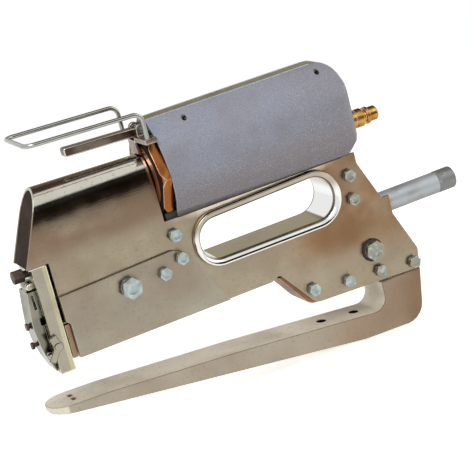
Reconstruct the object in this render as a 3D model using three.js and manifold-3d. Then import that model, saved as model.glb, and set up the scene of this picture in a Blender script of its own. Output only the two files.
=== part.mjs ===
// Air stapler: a hand tool with a folded sheet body, a four-finger slot, an air cylinder under a grip
// housing, a bell crank that turns the piston's push into the driver's stroke, and a long anvil arm.
// Millimetres. X runs from the nose to the rear, Z up, and the left side of the tool faces -Y.
// While it is drawn, X = 0 and Z = 0 are the front bottom corner of the side plates. The finished
// tool is moved so that the centre of the hand slot is the origin.
import * as THREE from "three";
import { mergeVertices } from "three/addons/utils/BufferGeometryUtils.js";
import Module from "manifold-3d";

const wasm = await Module();
wasm.setup();

// Sizes shared by every piece
const clearance = 0.3;
const overrun = 3;
const weldDistance = 1e-4;
const arcStep = Math.PI / 10;
const roundSides = 24;
const smallRoundSides = 12;
const hexSides = 6;

// Hand slot and the bell-mouthed liner that is rolled over both plates
const slot = {
  centreX: 151.3,
  centreZ: 44.3,
  length: 101.5,
  height: 30,
  frontRadius: 13,
  rearRadius: 14.9,
  frontDrop: 2.4,
  rearRise: 0.8,
  wall: 1.5,
  flare: 2.6,
  rimProud: 2,
  lip: 1.4,
};
const slotFront = slot.centreX - slot.length / 2;
const slotRear = slot.centreX + slot.length / 2;

// Folded body: two side plates and the round-topped hood over the crank
const gripWidth = 22.65;
const body = {
  width: 30,
  sheet: 2,
  hoodFloor: 66.5,
  hoodRear: 80,
  hoodOverhang: 17.5,
  hoodTopFront: 3,
  hoodCrest: 114.3,
  hoodFall: 2.4,
  frontSetback: 2.5,
  mouthHeight: 24,
  mouthSlope: 2,
  floorEnd: 143,
  notchX: 149.5,
  notchZ: 2.8,
  lobeX: 171,
  lobeDrop: 25.6,
  lobeRadius: 8,
  tailX: 254.2,
  tailDrop: 29.1,
  heelX: 255.8,
  heelDrop: 15,
  gripX: slotRear + gripWidth,
  gripZ: 58.5,
  tabRear: 243,
  tabTop: 28.8,
  cornerRadius: 3,
};

// Covers that close the magazine on both sides
const coverSetback = 11.05;
const coverCorner = 10.5;
const sideCover = {
  sheet: 2,
  length: 110,
  frontHeight: 43.3,
  rearHeight: 46.5,
  topLength: slotFront - coverSetback - coverCorner,
  cornerX: slotFront - coverSetback,
  cornerZ: 41,
  cornerRadius: 6,
};

// Fasteners
const smallBolt = { shank: 5, across: 8, head: 3.5 };
const largeBolt = { shank: 8, across: 13, head: 5.3 };

// Spacer blocks between the side plates, one on each side of the slot
const frontBlock = { setback: 7.55, length: 27 };
const frontSpacer = {
  front: slotFront - frontBlock.setback - frontBlock.length,
  rear: slotFront - frontBlock.setback,
};
const rearBlock = { setback: 6.95, length: 27, topLength: 12 };
const rearSpacer = {
  front: slotRear + rearBlock.setback,
  rear: slotRear + rearBlock.setback + rearBlock.length,
  topRear: slotRear + rearBlock.setback + rearBlock.topLength,
  bottom: 9,
};
const tailSpacer = { front: 149, lobeX: 167.3, rear: 207, proud: 0.4, radius: 9 };

// Places of the small bolts: on the covers, under the hood, in the grip, and along the tail
const boltPlace = {
  coverFrontX: 4,
  coverFrontZ: 33.6,
  coverRearX: 9,
  coverRearZ: 39.8,
  hoodZ: 55.4,
  gripLowerX: 6.6,
  gripLowerZ: 35.4,
  gripUpperX: 7.3,
  gripUpperZ: 52.3,
  tailFrontX: 171.1,
  tailFrontZ: -15.3,
  tailMiddleX: 198.2,
  tailMiddleZ: -18.9,
  tailRearX: 223.5,
  tailRearZ: -20.3,
  heelX: 249.9,
  heelZ: -23.3,
};
const frontBoltX = frontSpacer.front + boltPlace.coverFrontX;
const rearBoltX = frontSpacer.rear - boltPlace.coverRearX;
const lowerGripBoltX = rearSpacer.front + boltPlace.gripLowerX;
const upperGripBoltX = rearSpacer.front + boltPlace.gripUpperX;
const smallBoltPlaces = [
  { name: "cover_bolt_front", x: frontBoltX, z: boltPlace.coverFrontZ, over: "cover" },
  { name: "cover_bolt_rear", x: rearBoltX, z: boltPlace.coverRearZ, over: "cover" },
  { name: "hood_bolt", x: rearBoltX, z: boltPlace.hoodZ, over: "plate" },
  { name: "grip_bolt_lower", x: lowerGripBoltX, z: boltPlace.gripLowerZ, over: "plate" },
  { name: "grip_bolt_upper", x: upperGripBoltX, z: boltPlace.gripUpperZ, over: "plate" },
  { name: "tail_bolt_front", x: boltPlace.tailFrontX, z: boltPlace.tailFrontZ, over: "plate" },
  { name: "tail_bolt_middle", x: boltPlace.tailMiddleX, z: boltPlace.tailMiddleZ, over: "plate" },
  { name: "tail_bolt_rear", x: boltPlace.tailRearX, z: boltPlace.tailRearZ, over: "plate" },
  { name: "heel_bolt", x: boltPlace.heelX, z: boltPlace.heelZ, over: "plate" },
];

// Nose guide, its plate, screws and catch
const nose = {
  front: 14.6,
  rear: 4.1,
  tip: 7,
  cavityFront: 12.6,
  cavityWidth: 18.6,
  cavityFloor: 13.7,
  inletTop: 12.5,
  inletFloor: 1.6,
};
const noseDoor = {
  width: 18,
  wall: 2,
  top: 50.7,
  topX: 20.2,
  upperX: 21.6,
  upperZ: 38.7,
  bellyX: 22.8,
  bellyZ: 27,
  lowerX: 21.3,
  lowerZ: 13.7,
  chinX: 19,
  chinZ: 4.3,
  toeX: 15.6,
  toeZ: 5.5,
  windowHeight: 6,
  slotWidth: 1.6,
  slotFoot: 5.5,
  studRadius: 2,
  studX: 17.2,
  studZ: 6.4,
};
const doorHinge = { x: 17.2, z: 53.4, radius: 2.2, pin: 1.1, knuckle: 4, lug: 3 };
const doorStud = { shank: 3, head: 5, headLength: 2, upperZ: 27, lowerZ: 13.7, seat: 23.2, tip: 19.2 };
const frontScrew = { shank: 5, across: 8, headLength: 7.5, z: 61, seat: 17, tip: 13 };
const frontPlate = { thickness: 3 };
const nosePin = { radius: 1.5, headRadius: 2.5, headLength: 1, depth: 5, x: 12.2, z: 12.4 };
const noseCatch = {
  sheet: 2,
  eyeRadius: 3.6,
  thumbX: 14.3,
  thumbZ: 20,
  thumbWidth: 5.6,
  hookX: 18.6,
  hookZ: 3.4,
  hookWidth: 4.6,
};

// Magazine
const staple = { crown: 12, wire: 0.6, crownTop: 12.2, legBottom: 1.9, stripEnd: 66 };
const magazine = {
  sheet: 1.2,
  floor: 0.4,
  flangeTop: 25.2,
  rear: 206,
  mouthWidth: 28.4,
  mouthTop: 23.5,
  mouthFront: 3.7,
};
const pusher = { length: 14, top: 24.2, socket: 8, stroke: 85 };
const pusherRod = { radius: 2.5, z: 20.5, rear: 299 };
const pusherSpring = { outer: 8.6, wire: 1.1, turns: 20 };
const knob = {
  front: rearSpacer.rear + clearance,
  radius: 7.7,
  capFront: 288,
  capRear: 302,
  capRadius: 7.9,
  chamfer: 1,
};

// Bell crank: the upper arm meets the piston rod, the front arm meets the driver
const crank = {
  pivotX: 44.7,
  pivotZ: 33.3,
  halfSwing: 10.4,
  thickness: 10,
  hubRadius: 12,
  bossRadius: 7.8,
  upperHalfWidth: 6.5,
  frontHalfWidth: 5.5,
  tipReach: 3.3,
  frontTipReach: 2.2,
  slotClearance: 0.2,
  slotRoot: 0.6,
};
const driver = {
  x: 9,
  blade: 1.5,
  holderWidth: 18,
  cheek: 3.7,
  holderFloor: 2.4,
  holderSkin: 0.9,
  holderBelow: 7,
  holderAbove: 6.8,
  pinRadius: 2.5,
  restTip: 12.9,
};

// Air cylinder, its piston and rod
const cylinder = { z: 95.5, bore: 38, outer: 46, front: 91.8, rear: 150, spigot: 9 };
const gland = { across: 49.4, front: 82, chamfer: 2.2 };
const piston = { restFront: 128, length: 14, sealLength: 4, sealDepth: 2.7, sealGap: 0.15 };
const rod = { radius: 6, neck: 4 };
const clevis = { pin: 3, front: 6, bridge: 8, rear: 13, halfHeight: 7, cheekInner: 5.3, cheekOuter: 9.5 };
const rearHead = { rear: 224, spigot: 6.5, portRadius: 5.3, portDepth: 13 };
const nipple = {
  z: 84,
  thread: 5,
  neck: 6.6,
  neckEnd: 243,
  groove: 4.4,
  grooveEnd: 245.4,
  collar: 6.2,
  collarEnd: 248,
  tail: 5.2,
  end: 255,
  round: 1.4,
  bore: 2.6,
};
const saddle = { bottom: 62.4, rear: 210, top: 75 };

// Grip housing over the cylinder: two grey covers and the metal spine between them
const housing = {
  wall: 1.6,
  front: 89,
  topFront: 87.5,
  bottom: 66.5,
  top: 132.8,
  bottomHalfWidth: 17,
  waistHalfWidth: 27,
  shoulderHalfWidth: 19,
  rear: 230.5,
  rearLower: 84,
  rearUpper: 104,
  bottomRear: 220,
  topRear: 223,
  rearRadius: 12,
  lowRadius: 6,
  planRadius: 16,
  screwRadius: 1.9,
  screwZ: 127.2,
  screwFrontX: 112.3,
  screwRearX: 212.2,
};
// Half widths and heights of the housing's section, as shares of its waist width and of its height
const housingSectionShares = [
  [0.92, 0.21],
  [1, 0.42],
  [0.92, 0.62],
  [0.7, 0.81],
  [0.43, 0.94],
  [0.26, 1],
];
const spine = { width: 12.8, skirt: 6.5, wall: 3.5, web: 6, webFront: 122.3, webRear: 212 };

// Trigger, its valve and the wire guard
const valve = {
  front: 92,
  rear: 122,
  width: 12,
  bossWidth: 16,
  bossLength: 8,
  bottom: 118.8,
  top: 129,
  stemRadius: 1.5,
  stemZ: 122.5,
  stemTip: 87.5,
  stemEnd: 118,
  collarRadius: 2.7,
  collarFront: 102,
  collarLength: 2.7,
  chamberRadius: 3.1,
  chamberFront: 99,
};
const valveSpring = { outer: 5, wire: 0.7, turns: 6 };
const trigger = {
  pivotX: 84,
  pivotZ: 128,
  pinRadius: 1.5,
  width: 8,
  tipX: 30.5,
  tipTop: 131.5,
  tipBottom: 125.6,
  tailX: 87.2,
  tailTop: 129,
  rootBottom: 123.6,
  heelFront: 84.4,
  heelBottom: 120.6,
  cornerRadius: 1.5,
};
const bracket = {
  front: 78,
  rear: 86.8,
  width: 50,
  bottom: cylinder.z + gland.across / 2 + clearance,
  top: 124,
  groove: 121.9,
  ear: 3.2,
  earFront: 80,
  earTop: 131.5,
  footFront: 77.2,
  footRear: 79.7,
  footWidth: 12,
};
const guard = {
  radius: 1.5,
  width: 45,
  front: 2,
  rear: 81,
  frontZ: 144.3,
  rearZ: 141.3,
  legBottom: 121.4,
  bend: 6,
  sides: 8,
  steps: 84,
};

// Anvil arm
const arm = {
  pivotX: 221.4,
  pivotZ: -4.4,
  eyeRadius: 10,
  width: 30,
  tongueFront: 229.5,
  tongueRear: 243,
  tongueTop: -14,
  innerX: 222.6,
  innerRadius: 12,
  rearTopX: 254.2,
  rearBottomX: 248,
  heelZ: -66,
  heelRadius: 14,
  tipX: -27.5,
  tipZ: -28.4,
  tipDrop: 4.4,
  elbowZ: -49.6,
  holeRadius: 3.4,
  holeFrontX: 177.4,
  holeRearX: 202.9,
  pocketLength: 5,
  pocketWidth: 3,
  pocketDepth: 0.8,
  pocketGap: 4,
  tipLength: 15,
};
// Height of the arm's top and underside between tip and elbow, as shares of length and of drop
const armTopShares = [
  [0.16, 0.075],
  [0.55, 0.455],
];
const armUndersideShares = [
  [0.09, 0.1],
  [0.4, 0.45],
  [0.83, 0.95],
];
const pivotBush = { outer: 8, seat: 2 };

// Finishes
const finishes = {
  nickel: { color: 0xaf9f8c, roughness: 0.35, metalness: 0.9 },
  polished: { color: 0xc8c2b4, roughness: 0.15, metalness: 1 },
  charcoal: { color: 0x4c4545, roughness: 0.6, metalness: 0.3 },
  zinc: { color: 0xb4c0bc, roughness: 0.35, metalness: 0.9 },
  steel: { color: 0x8f8678, roughness: 0.45, metalness: 0.9 },
  gunmetal: { color: 0x5a4a46, roughness: 0.5, metalness: 0.8 },
  brass: { color: 0xb87537, roughness: 0.35, metalness: 1 },
  gold: { color: 0xd0a03c, roughness: 0.3, metalness: 1 },
  aluminium: { color: 0x9a9ca0, roughness: 0.45, metalness: 0.9 },
  greyPaint: { color: 0x8d93a0, roughness: 0.55, metalness: 0.1 },
  blackPlastic: { color: 0x121212, roughness: 0.6, metalness: 0 },
  rubber: { color: 0x1c1a1a, roughness: 0.85, metalness: 0 },
};

// Lengths that several pieces work out from the values above
const halfWidth = body.width / 2;
const innerHalf = halfWidth - body.sheet;
const blockHalf = innerHalf - clearance;
const coverFace = halfWidth + clearance + sideCover.sheet;
const swing = THREE.MathUtils.degToRad(crank.halfSwing);
const upperReach = cylinder.z - crank.pivotZ;
const frontReach = crank.pivotX + driver.x;
const pistonStroke = 2 * upperReach * Math.tan(swing);
const clevisX = crank.pivotX + upperReach * Math.tan(swing);
const driverPinZ = crank.pivotZ + frontReach * Math.tan(swing);
const channelHalf = staple.crown / 2 + clearance;
const railTop = staple.crownTop - staple.wire - clearance;
const pusherFront = staple.stripEnd + clearance;
const pusherRear = pusherFront + pusher.length;

// Solids

function asSolid(geometry) {
  geometry.deleteAttribute("normal");
  geometry.deleteAttribute("uv");
  const welded = mergeVertices(geometry, weldDistance);
  const mesh = new wasm.Mesh({
    numProp: 3,
    vertProperties: welded.attributes.position.array,
    triVerts: new Uint32Array(welded.index.array),
  });
  return new wasm.Manifold(mesh);
}

function join(first, ...others) {
  return others.reduce((whole, other) => whole.add(other), first);
}

function cut(first, ...tools) {
  return tools.reduce((rest, tool) => rest.subtract(tool), first);
}

// A mesh with the solid's triangles, named after the piece and finished as it is
function piece(name, solid, finish) {
  const { vertProperties, triVerts } = solid.getMesh();
  const geometry = new THREE.BufferGeometry();
  geometry.setAttribute("position", new THREE.BufferAttribute(vertProperties, 3));
  geometry.setIndex(new THREE.BufferAttribute(triVerts, 1));
  geometry.computeVertexNormals();
  const mesh = new THREE.Mesh(geometry, new THREE.MeshStandardMaterial(finishes[finish]));
  mesh.name = name;
  return mesh;
}

// Outlines: lists of Vector2

// Corners are [a, b] or [a, b, radius]. A fillet is never longer than half of its shorter side.
function outline(corners) {
  const points = [];
  corners.forEach(([a, b, radius = 0], i) => {
    const here = new THREE.Vector2(a, b);
    if (radius === 0) {
      points.push(here);
      return;
    }
    const before = new THREE.Vector2(...corners.at(i - 1).slice(0, 2)).sub(here);
    const after = new THREE.Vector2(...corners[(i + 1) % corners.length].slice(0, 2)).sub(here);
    const longest = Math.min(before.length(), after.length()) / 2;
    before.normalize();
    after.normalize();
    const halfAngle = Math.acos(THREE.MathUtils.clamp(before.dot(after), -1, 1)) / 2;
    const reach = Math.min(radius / Math.tan(halfAngle), longest);
    const trueRadius = reach * Math.tan(halfAngle);
    const centre = before.clone().add(after).normalize();
    centre.multiplyScalar(trueRadius / Math.sin(halfAngle)).add(here);
    const start = here.clone().addScaledVector(before, reach);
    const turn = (Math.PI - 2 * halfAngle) * Math.sign(after.cross(before));
    const steps = Math.max(2, Math.ceil(Math.abs(turn) / arcStep));
    for (let k = 0; k <= steps; k += 1) {
      points.push(start.clone().rotateAround(centre, (turn * k) / steps));
    }
  });
  return points;
}

function ring(a, b, radius, sides = roundSides, startAngle = 0) {
  return Array.from({ length: sides }, (_, k) => {
    const angle = startAngle + (2 * Math.PI * k) / sides;
    return new THREE.Vector2(a + radius * Math.cos(angle), b + radius * Math.sin(angle));
  });
}

function hexagon(a, b, across) {
  return ring(a, b, across / 2 / Math.cos(Math.PI / hexSides), hexSides);
}

function rectangle(lowA, lowB, highA, highB) {
  return outline([[lowA, lowB], [highA, lowB], [highA, highB], [lowA, highB]]);
}

// Moves each point of a closed outline sideways: inwards for a positive distance
function inset(points, distance) {
  const side = Math.sign(THREE.ShapeUtils.area(points));
  return points.map((point, i) => {
    const back = point.clone().sub(points.at(i - 1)).normalize();
    const ahead = points[(i + 1) % points.length].clone().sub(point).normalize();
    const normal = new THREE.Vector2(-back.y - ahead.y, back.x + ahead.x).normalize();
    const stretch = normal.dot(new THREE.Vector2(-ahead.y, ahead.x));
    return point.clone().addScaledVector(normal, (side * distance) / stretch);
  });
}

// Extrusions and turnings

function extruded(points, depth) {
  return new THREE.ExtrudeGeometry(new THREE.Shape(points), { depth, bevelEnabled: false });
}

// A side view (x, z), thick from y = low to y = high
function sideCut(points, low, high) {
  const geometry = extruded(points, high - low);
  geometry.rotateX(Math.PI / 2).translate(0, high, 0);
  return asSolid(geometry);
}

// A cross-section (y, z) run along X
function longCut(points, front, rear) {
  const geometry = extruded(points, rear - front);
  const turn = new THREE.Matrix4().makeBasis(
    new THREE.Vector3(0, 1, 0),
    new THREE.Vector3(0, 0, 1),
    new THREE.Vector3(1, 0, 0),
  );
  geometry.applyMatrix4(turn).translate(front, 0, 0);
  return asSolid(geometry);
}

// A plan (x, y) run along Z
function planCut(points, bottom, top) {
  return asSolid(extruded(points, top - bottom).translate(0, 0, bottom));
}

function box(lowX, highX, lowY, highY, lowZ, highZ) {
  return planCut(rectangle(lowX, lowY, highX, highY), lowZ, highZ);
}

// A profile of [radius, place] from the axis back to the axis, turned about a line along X
function turnedAlongX(profile, z, sides = roundSides) {
  const points = profile.map(([radius, x]) => new THREE.Vector2(radius, x));
  const geometry = new THREE.LatheGeometry(points, sides);
  geometry.rotateZ(-Math.PI / 2).translate(0, 0, z);
  return asSolid(geometry);
}

function rodAlongX(radius, front, rear, z, sides = roundSides) {
  return longCut(ring(0, z, radius, sides), front, rear);
}

function rodAlongY(radius, low, high, x, z, sides = smallRoundSides) {
  return sideCut(ring(x, z, radius, sides), low, high);
}

function rodAlongZ(radius, bottom, top, x, y, sides = roundSides) {
  return planCut(ring(x, y, radius, sides), bottom, top);
}

// A wire with round section run along a curve
function wireAlong(curve, radius, sides, steps) {
  const section = new THREE.Shape(ring(0, 0, radius, sides));
  return asSolid(new THREE.ExtrudeGeometry(section, { steps, extrudePath: curve, bevelEnabled: false }));
}

// A closed section of [outward, y] swept round a closed outline in the side view
function sweptRound(points, section) {
  const count = points.length;
  const depth = section.length;
  const rings = section.map(([outward, y]) =>
    inset(points, -outward).map((point) => [point.x, y, point.y]),
  );
  const vertices = [];
  for (let i = 0; i < count; i += 1) {
    for (let k = 0; k < depth; k += 1) vertices.push(...rings[k][i]);
  }
  const faces = [];
  for (let i = 0; i < count; i += 1) {
    for (let k = 0; k < depth; k += 1) {
      const a = i * depth + k;
      const b = i * depth + ((k + 1) % depth);
      const c = ((i + 1) % count) * depth + k;
      const d = ((i + 1) % count) * depth + ((k + 1) % depth);
      faces.push(a, c, b, b, c, d);
    }
  }
  const geometry = new THREE.BufferGeometry();
  geometry.setAttribute("position", new THREE.Float32BufferAttribute(vertices, 3));
  geometry.setIndex(faces);
  return asSolid(geometry);
}

// A coil about a line along X, with closed flat ends
class CoilCurve extends THREE.Curve {
  constructor(radius, front, rear, turns, z) {
    super();
    Object.assign(this, { radius, front, rear, turns, z });
  }

  getPoint(t, target = new THREE.Vector3()) {
    const angle = 2 * Math.PI * this.turns * t;
    const x = this.front + (this.rear - this.front) * t;
    return target.set(x, this.radius * Math.cos(angle), this.z + this.radius * Math.sin(angle));
  }
}

const stepsPerTurn = 8;
const coilSides = 5;

// Least room between neighbouring curls, measured on points of the middle line
function leastGap(curve, turns, wire) {
  const count = turns * stepsPerTurn;
  const points = curve.getPoints(count);
  let least = Infinity;
  points.forEach((point, i) => {
    for (let k = i + stepsPerTurn / 2; k <= count; k += 1) {
      least = Math.min(least, point.distanceTo(points[k]));
    }
  });
  return least - wire;
}

function coil({ outer, wire, turns }, front, rear, z) {
  const curve = new CoilCurve((outer - wire) / 2, front + wire / 2, rear - wire / 2, turns, z);
  console.log(`coil of ${turns} curls: least gap ${leastGap(curve, turns, wire).toFixed(2)} mm`);
  return wireAlong(curve, wire / 2, coilSides, turns * stepsPerTurn);
}

// Fasteners along Y: head on the left, nut on the right, one solid

function throughBolt({ x, z, size, face }) {
  const seat = face + clearance;
  return join(
    rodAlongY(size.shank / 2, -seat - size.head / 2, seat + size.head / 2, x, z),
    sideCut(hexagon(x, z, size.across), -seat - size.head, -seat),
    sideCut(hexagon(x, z, size.across), seat, seat + size.head),
  );
}

function boltHole({ x, z }, size, low = -coverFace - overrun, high = coverFace + overrun) {
  return rodAlongY(size.shank / 2 + clearance, low, high, x, z);
}

const crankBolt = { x: crank.pivotX, z: crank.pivotZ };
const armBolt = { x: arm.pivotX, z: arm.pivotZ };
const smallHoles = smallBoltPlaces.map((place) => boltHole(place, smallBolt));

// Body

function plateOutline() {
  const topLine = body.hoodCrest + overrun;
  const lean = (body.hoodTopFront + body.hoodOverhang) / (body.hoodCrest - body.hoodFloor);
  const gripLean = (body.heelX - body.gripX) / (body.gripZ + body.heelDrop);
  return outline([
    [0, 0],
    [body.floorEnd, 0],
    [body.notchX, body.notchZ, body.cornerRadius],
    [body.lobeX, -body.lobeDrop, body.lobeRadius],
    [body.tailX, -body.tailDrop],
    [body.heelX, -body.heelDrop, body.cornerRadius],
    [body.tabRear, (body.heelX - body.tabRear) / gripLean - body.heelDrop],
    [body.tabRear, body.tabTop],
    [body.heelX - (body.tabTop + body.heelDrop) * gripLean, body.tabTop],
    [body.gripX, body.gripZ, body.cornerRadius],
    [body.gripX, body.hoodFloor - clearance],
    [body.hoodRear, body.hoodFloor - clearance],
    [body.hoodRear, topLine],
    [body.hoodTopFront + overrun * lean, topLine],
    [-body.hoodOverhang, body.hoodFloor],
    [-body.frontSetback, body.hoodFloor],
    [-body.frontSetback, body.mouthHeight + body.mouthSlope],
    [0, body.mouthHeight],
  ]);
}

// An inverted U as wide as the body less the inset, its crest falling gently to the rear
function archRun(insetBy) {
  const radius = halfWidth - insetBy;
  const centre = body.hoodCrest - halfWidth;
  const bottom = -body.tailDrop - overrun;
  const points = [new THREE.Vector2(-radius, bottom), new THREE.Vector2(radius, bottom)];
  for (let k = 0; k <= roundSides / 2; k += 1) {
    const angle = (2 * Math.PI * k) / roundSides;
    points.push(new THREE.Vector2(radius * Math.cos(angle), centre + radius * Math.sin(angle)));
  }
  const geometry = extruded(points, body.heelX + 2 * body.hoodOverhang);
  const turn = new THREE.Matrix4().makeBasis(
    new THREE.Vector3(0, 1, 0),
    new THREE.Vector3(0, 0, 1),
    new THREE.Vector3(1, 0, 0),
  );
  geometry.applyMatrix4(turn).translate(-body.hoodOverhang - overrun, 0, 0);
  const fall = Math.atan(body.hoodFall / (body.hoodRear - body.hoodTopFront));
  geometry.translate(-body.hoodTopFront, 0, -body.hoodCrest);
  geometry.rotateY(fall);
  geometry.translate(body.hoodTopFront, 0, body.hoodCrest);
  return asSolid(geometry);
}

function slotOutline() {
  const front = slot.centreX - slot.length / 2;
  const rear = slot.centreX + slot.length / 2;
  const bottom = slot.centreZ - slot.height / 2;
  const top = slot.centreZ + slot.height / 2;
  return outline([
    [front, bottom, slot.frontRadius],
    [rear, bottom, slot.rearRadius],
    [rear, top + slot.rearRise, slot.rearRadius],
    [front, top - slot.frontDrop, slot.frontRadius],
  ]);
}

function bodyShell() {
  const plates = sideCut(plateOutline(), -halfWidth - overrun, halfWidth + overrun);
  const shell = cut(plates.intersect(archRun(0)), archRun(body.sheet));
  const slotHole = sideCut(
    inset(slotOutline(), -slot.wall - slot.flare / 2 - clearance),
    -halfWidth - overrun,
    halfWidth + overrun,
  );
  const bushHole = rodAlongY(
    pivotBush.outer,
    -halfWidth - overrun,
    halfWidth + overrun,
    arm.pivotX,
    arm.pivotZ,
    roundSides,
  );
  return cut(shell, slotHole, bushHole, boltHole(crankBolt, largeBolt), ...smallHoles);
}

// The liner's section: straight through the plates, flared round a quarter circle on both faces
function slotLiner() {
  const mouth = halfWidth + slot.rimProud + slot.wall;
  const bendY = mouth - slot.flare - slot.wall;
  const lipY = halfWidth + clearance;
  const quarter = [0, 1, 2, 3].map((k) => (Math.PI / 2) * (k / 3));
  const inner = quarter.map((angle) => [
    (slot.flare + slot.wall) * (1 - Math.cos(angle)),
    bendY + (slot.flare + slot.wall) * Math.sin(angle),
  ]);
  const rim = slot.flare + slot.wall + slot.lip;
  const outer = [
    [rim, lipY + slot.rimProud / 2],
    [rim, lipY],
    [slot.flare + slot.wall, lipY],
    [slot.wall + slot.flare / 4, bendY + slot.flare / 2],
    [slot.wall, bendY],
  ];
  const half = [...inner, ...outer];
  const mirrored = half.map(([outward, y]) => [outward, -y]).reverse();
  return sweptRound(slotOutline(), [...half, ...mirrored]);
}

function sideCoverSolid(side) {
  const low = side < 0 ? -coverFace : halfWidth + clearance;
  const points = outline([
    [0, 0],
    [sideCover.length, 0],
    [sideCover.cornerX, sideCover.cornerZ, sideCover.cornerRadius],
    [sideCover.topLength, sideCover.rearHeight, sideCover.cornerRadius],
    [-body.frontSetback, sideCover.frontHeight],
    [-body.frontSetback, body.mouthHeight + body.mouthSlope],
    [0, body.mouthHeight],
  ]);
  const sheet = sideCut(points, low, low + sideCover.sheet);
  return cut(sheet, boltHole(crankBolt, largeBolt), ...smallHoles);
}

// Spacer blocks

function blockBetweenPlates(points) {
  return sideCut(points, -blockHalf, blockHalf);
}

function frontSpacerSolid() {
  const bottom = magazine.flangeTop + clearance;
  const top = saddle.bottom - clearance;
  return cut(blockBetweenPlates(rectangle(frontSpacer.front, bottom, frontSpacer.rear, top)), ...smallHoles);
}

function rearSpacerSolid() {
  const top = saddle.bottom - clearance;
  const block = blockBetweenPlates(
    outline([
      [rearSpacer.front, rearSpacer.bottom],
      [rearSpacer.rear, rearSpacer.bottom],
      [rearSpacer.topRear, top],
      [rearSpacer.front, top],
    ]),
  );
  const guideHole = rodAlongX(
    pusherRod.radius + clearance,
    rearSpacer.front - overrun,
    rearSpacer.rear + overrun,
    pusherRod.z,
    smallRoundSides,
  );
  return cut(block, guideHole, ...smallHoles);
}

function tailSpacerSolid() {
  const block = blockBetweenPlates(
    outline([
      [tailSpacer.front, magazine.floor - clearance],
      [tailSpacer.lobeX, -body.lobeDrop - tailSpacer.proud, tailSpacer.radius],
      [tailSpacer.rear, -body.lobeDrop - tailSpacer.proud],
      [tailSpacer.rear, magazine.floor - clearance],
    ]),
  );
  return cut(block, ...smallHoles);
}

// Nose

function noseGuide() {
  const half = halfWidth - clearance;
  const top = body.hoodFloor - clearance;
  const bladeFront = driver.x + driver.blade / 2 + clearance;
  const bladeRear = driver.x - driver.blade / 2 - clearance;
  const inlet = rectangle(-channelHalf, nose.inletFloor, channelHalf, nose.inletTop);
  return cut(
    join(box(-nose.front, -nose.rear, -half, half, -nose.tip, top), hingeLug(-1), hingeLug(1), hingePin()),
    box(
      -nose.cavityFront,
      0,
      -nose.cavityWidth / 2,
      nose.cavityWidth / 2,
      nose.cavityFloor,
      top + overrun,
    ),
    box(-bladeFront, -bladeRear, -channelHalf, channelHalf, -nose.tip - overrun, top),
    longCut(inlet, -driver.x, 0),
    rodAlongX(frontScrew.shank / 2 + clearance, -nose.front - overrun, -driver.x, frontScrew.z, 12),
    rodAlongY(nosePin.radius + clearance, -half - overrun, nosePin.depth - half, -nosePin.x, nosePin.z),
  );
}

function hingeLug(side) {
  const near = side * (doorHinge.knuckle + clearance);
  const far = side * (doorHinge.knuckle + clearance + doorHinge.lug);
  const [low, high] = [near, far].sort((a, b) => a - b);
  const web = rectangle(
    -doorHinge.x,
    doorHinge.z - doorHinge.radius,
    -nose.front + doorHinge.lug / 2,
    doorHinge.z + doorHinge.radius,
  );
  return join(rodAlongY(doorHinge.radius, low, high, -doorHinge.x, doorHinge.z), sideCut(web, low, high));
}

function hingePin() {
  const end = doorHinge.knuckle + doorHinge.lug;
  return rodAlongY(doorHinge.pin, -end, end, -doorHinge.x, doorHinge.z);
}

function doorKnuckle() {
  const { x, z, radius, knuckle } = doorHinge;
  const tab = rectangle(-x - radius, noseDoor.top - noseDoor.wall / 2, -x + radius, z);
  return join(rodAlongY(radius, -knuckle, knuckle, -x, z), sideCut(tab, -knuckle, knuckle));
}

function noseDoorSolid() {
  const back = -nose.front - clearance;
  const profile = outline([
    [back, noseDoor.top],
    [-noseDoor.topX, noseDoor.top],
    [-noseDoor.upperX, noseDoor.upperZ],
    [-noseDoor.bellyX, noseDoor.bellyZ, noseDoor.bellyZ],
    [-noseDoor.lowerX, noseDoor.lowerZ],
    [-noseDoor.chinX, noseDoor.chinZ],
    [-noseDoor.toeX, -noseDoor.toeZ],
    [back, -noseDoor.toeZ],
  ]);
  const half = noseDoor.width / 2;
  const pocket = sideCut(
    outline([
      [back + overrun, noseDoor.top - noseDoor.wall],
      [-noseDoor.topX + noseDoor.wall, noseDoor.top - noseDoor.wall],
      [-noseDoor.upperX + noseDoor.wall, noseDoor.upperZ],
      [-noseDoor.bellyX + noseDoor.wall, noseDoor.bellyZ],
      [-noseDoor.lowerX + noseDoor.wall, noseDoor.lowerZ],
      [-noseDoor.chinX + noseDoor.wall, noseDoor.chinZ],
      [back + overrun, noseDoor.chinZ],
    ]),
    -half + noseDoor.wall,
    half - noseDoor.wall,
  );
  const window = box(
    back - noseDoor.wall,
    back + overrun,
    -half - overrun,
    half + overrun,
    noseDoor.bellyZ,
    noseDoor.bellyZ + noseDoor.windowHeight,
  );
  const stud = rodAlongY(
    noseDoor.studRadius,
    -halfWidth + clearance,
    -half + noseDoor.wall,
    -noseDoor.studX,
    noseDoor.studZ,
  );
  const holes = [doorStud.upperZ, doorStud.lowerZ].map((z) =>
    rodAlongX(doorStud.shank / 2 + clearance, -noseDoor.bellyX - overrun, back + overrun, z, smallRoundSides),
  );
  const behindSkin = -noseDoor.topX + noseDoor.wall;
  const sideSlot = box(
    behindSkin,
    behindSkin + noseDoor.slotWidth,
    -half - overrun,
    half + overrun,
    noseDoor.bellyZ + noseDoor.windowHeight + noseDoor.slotFoot,
    noseDoor.top - noseDoor.wall,
  );
  const hingeBore = rodAlongY(doorHinge.pin + clearance, -half, half, -doorHinge.x, doorHinge.z);
  const shell = cut(sideCut(profile, -half, half), pocket);
  return cut(join(shell, stud, doorKnuckle()), window, sideSlot, hingeBore, ...holes);
}

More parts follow.
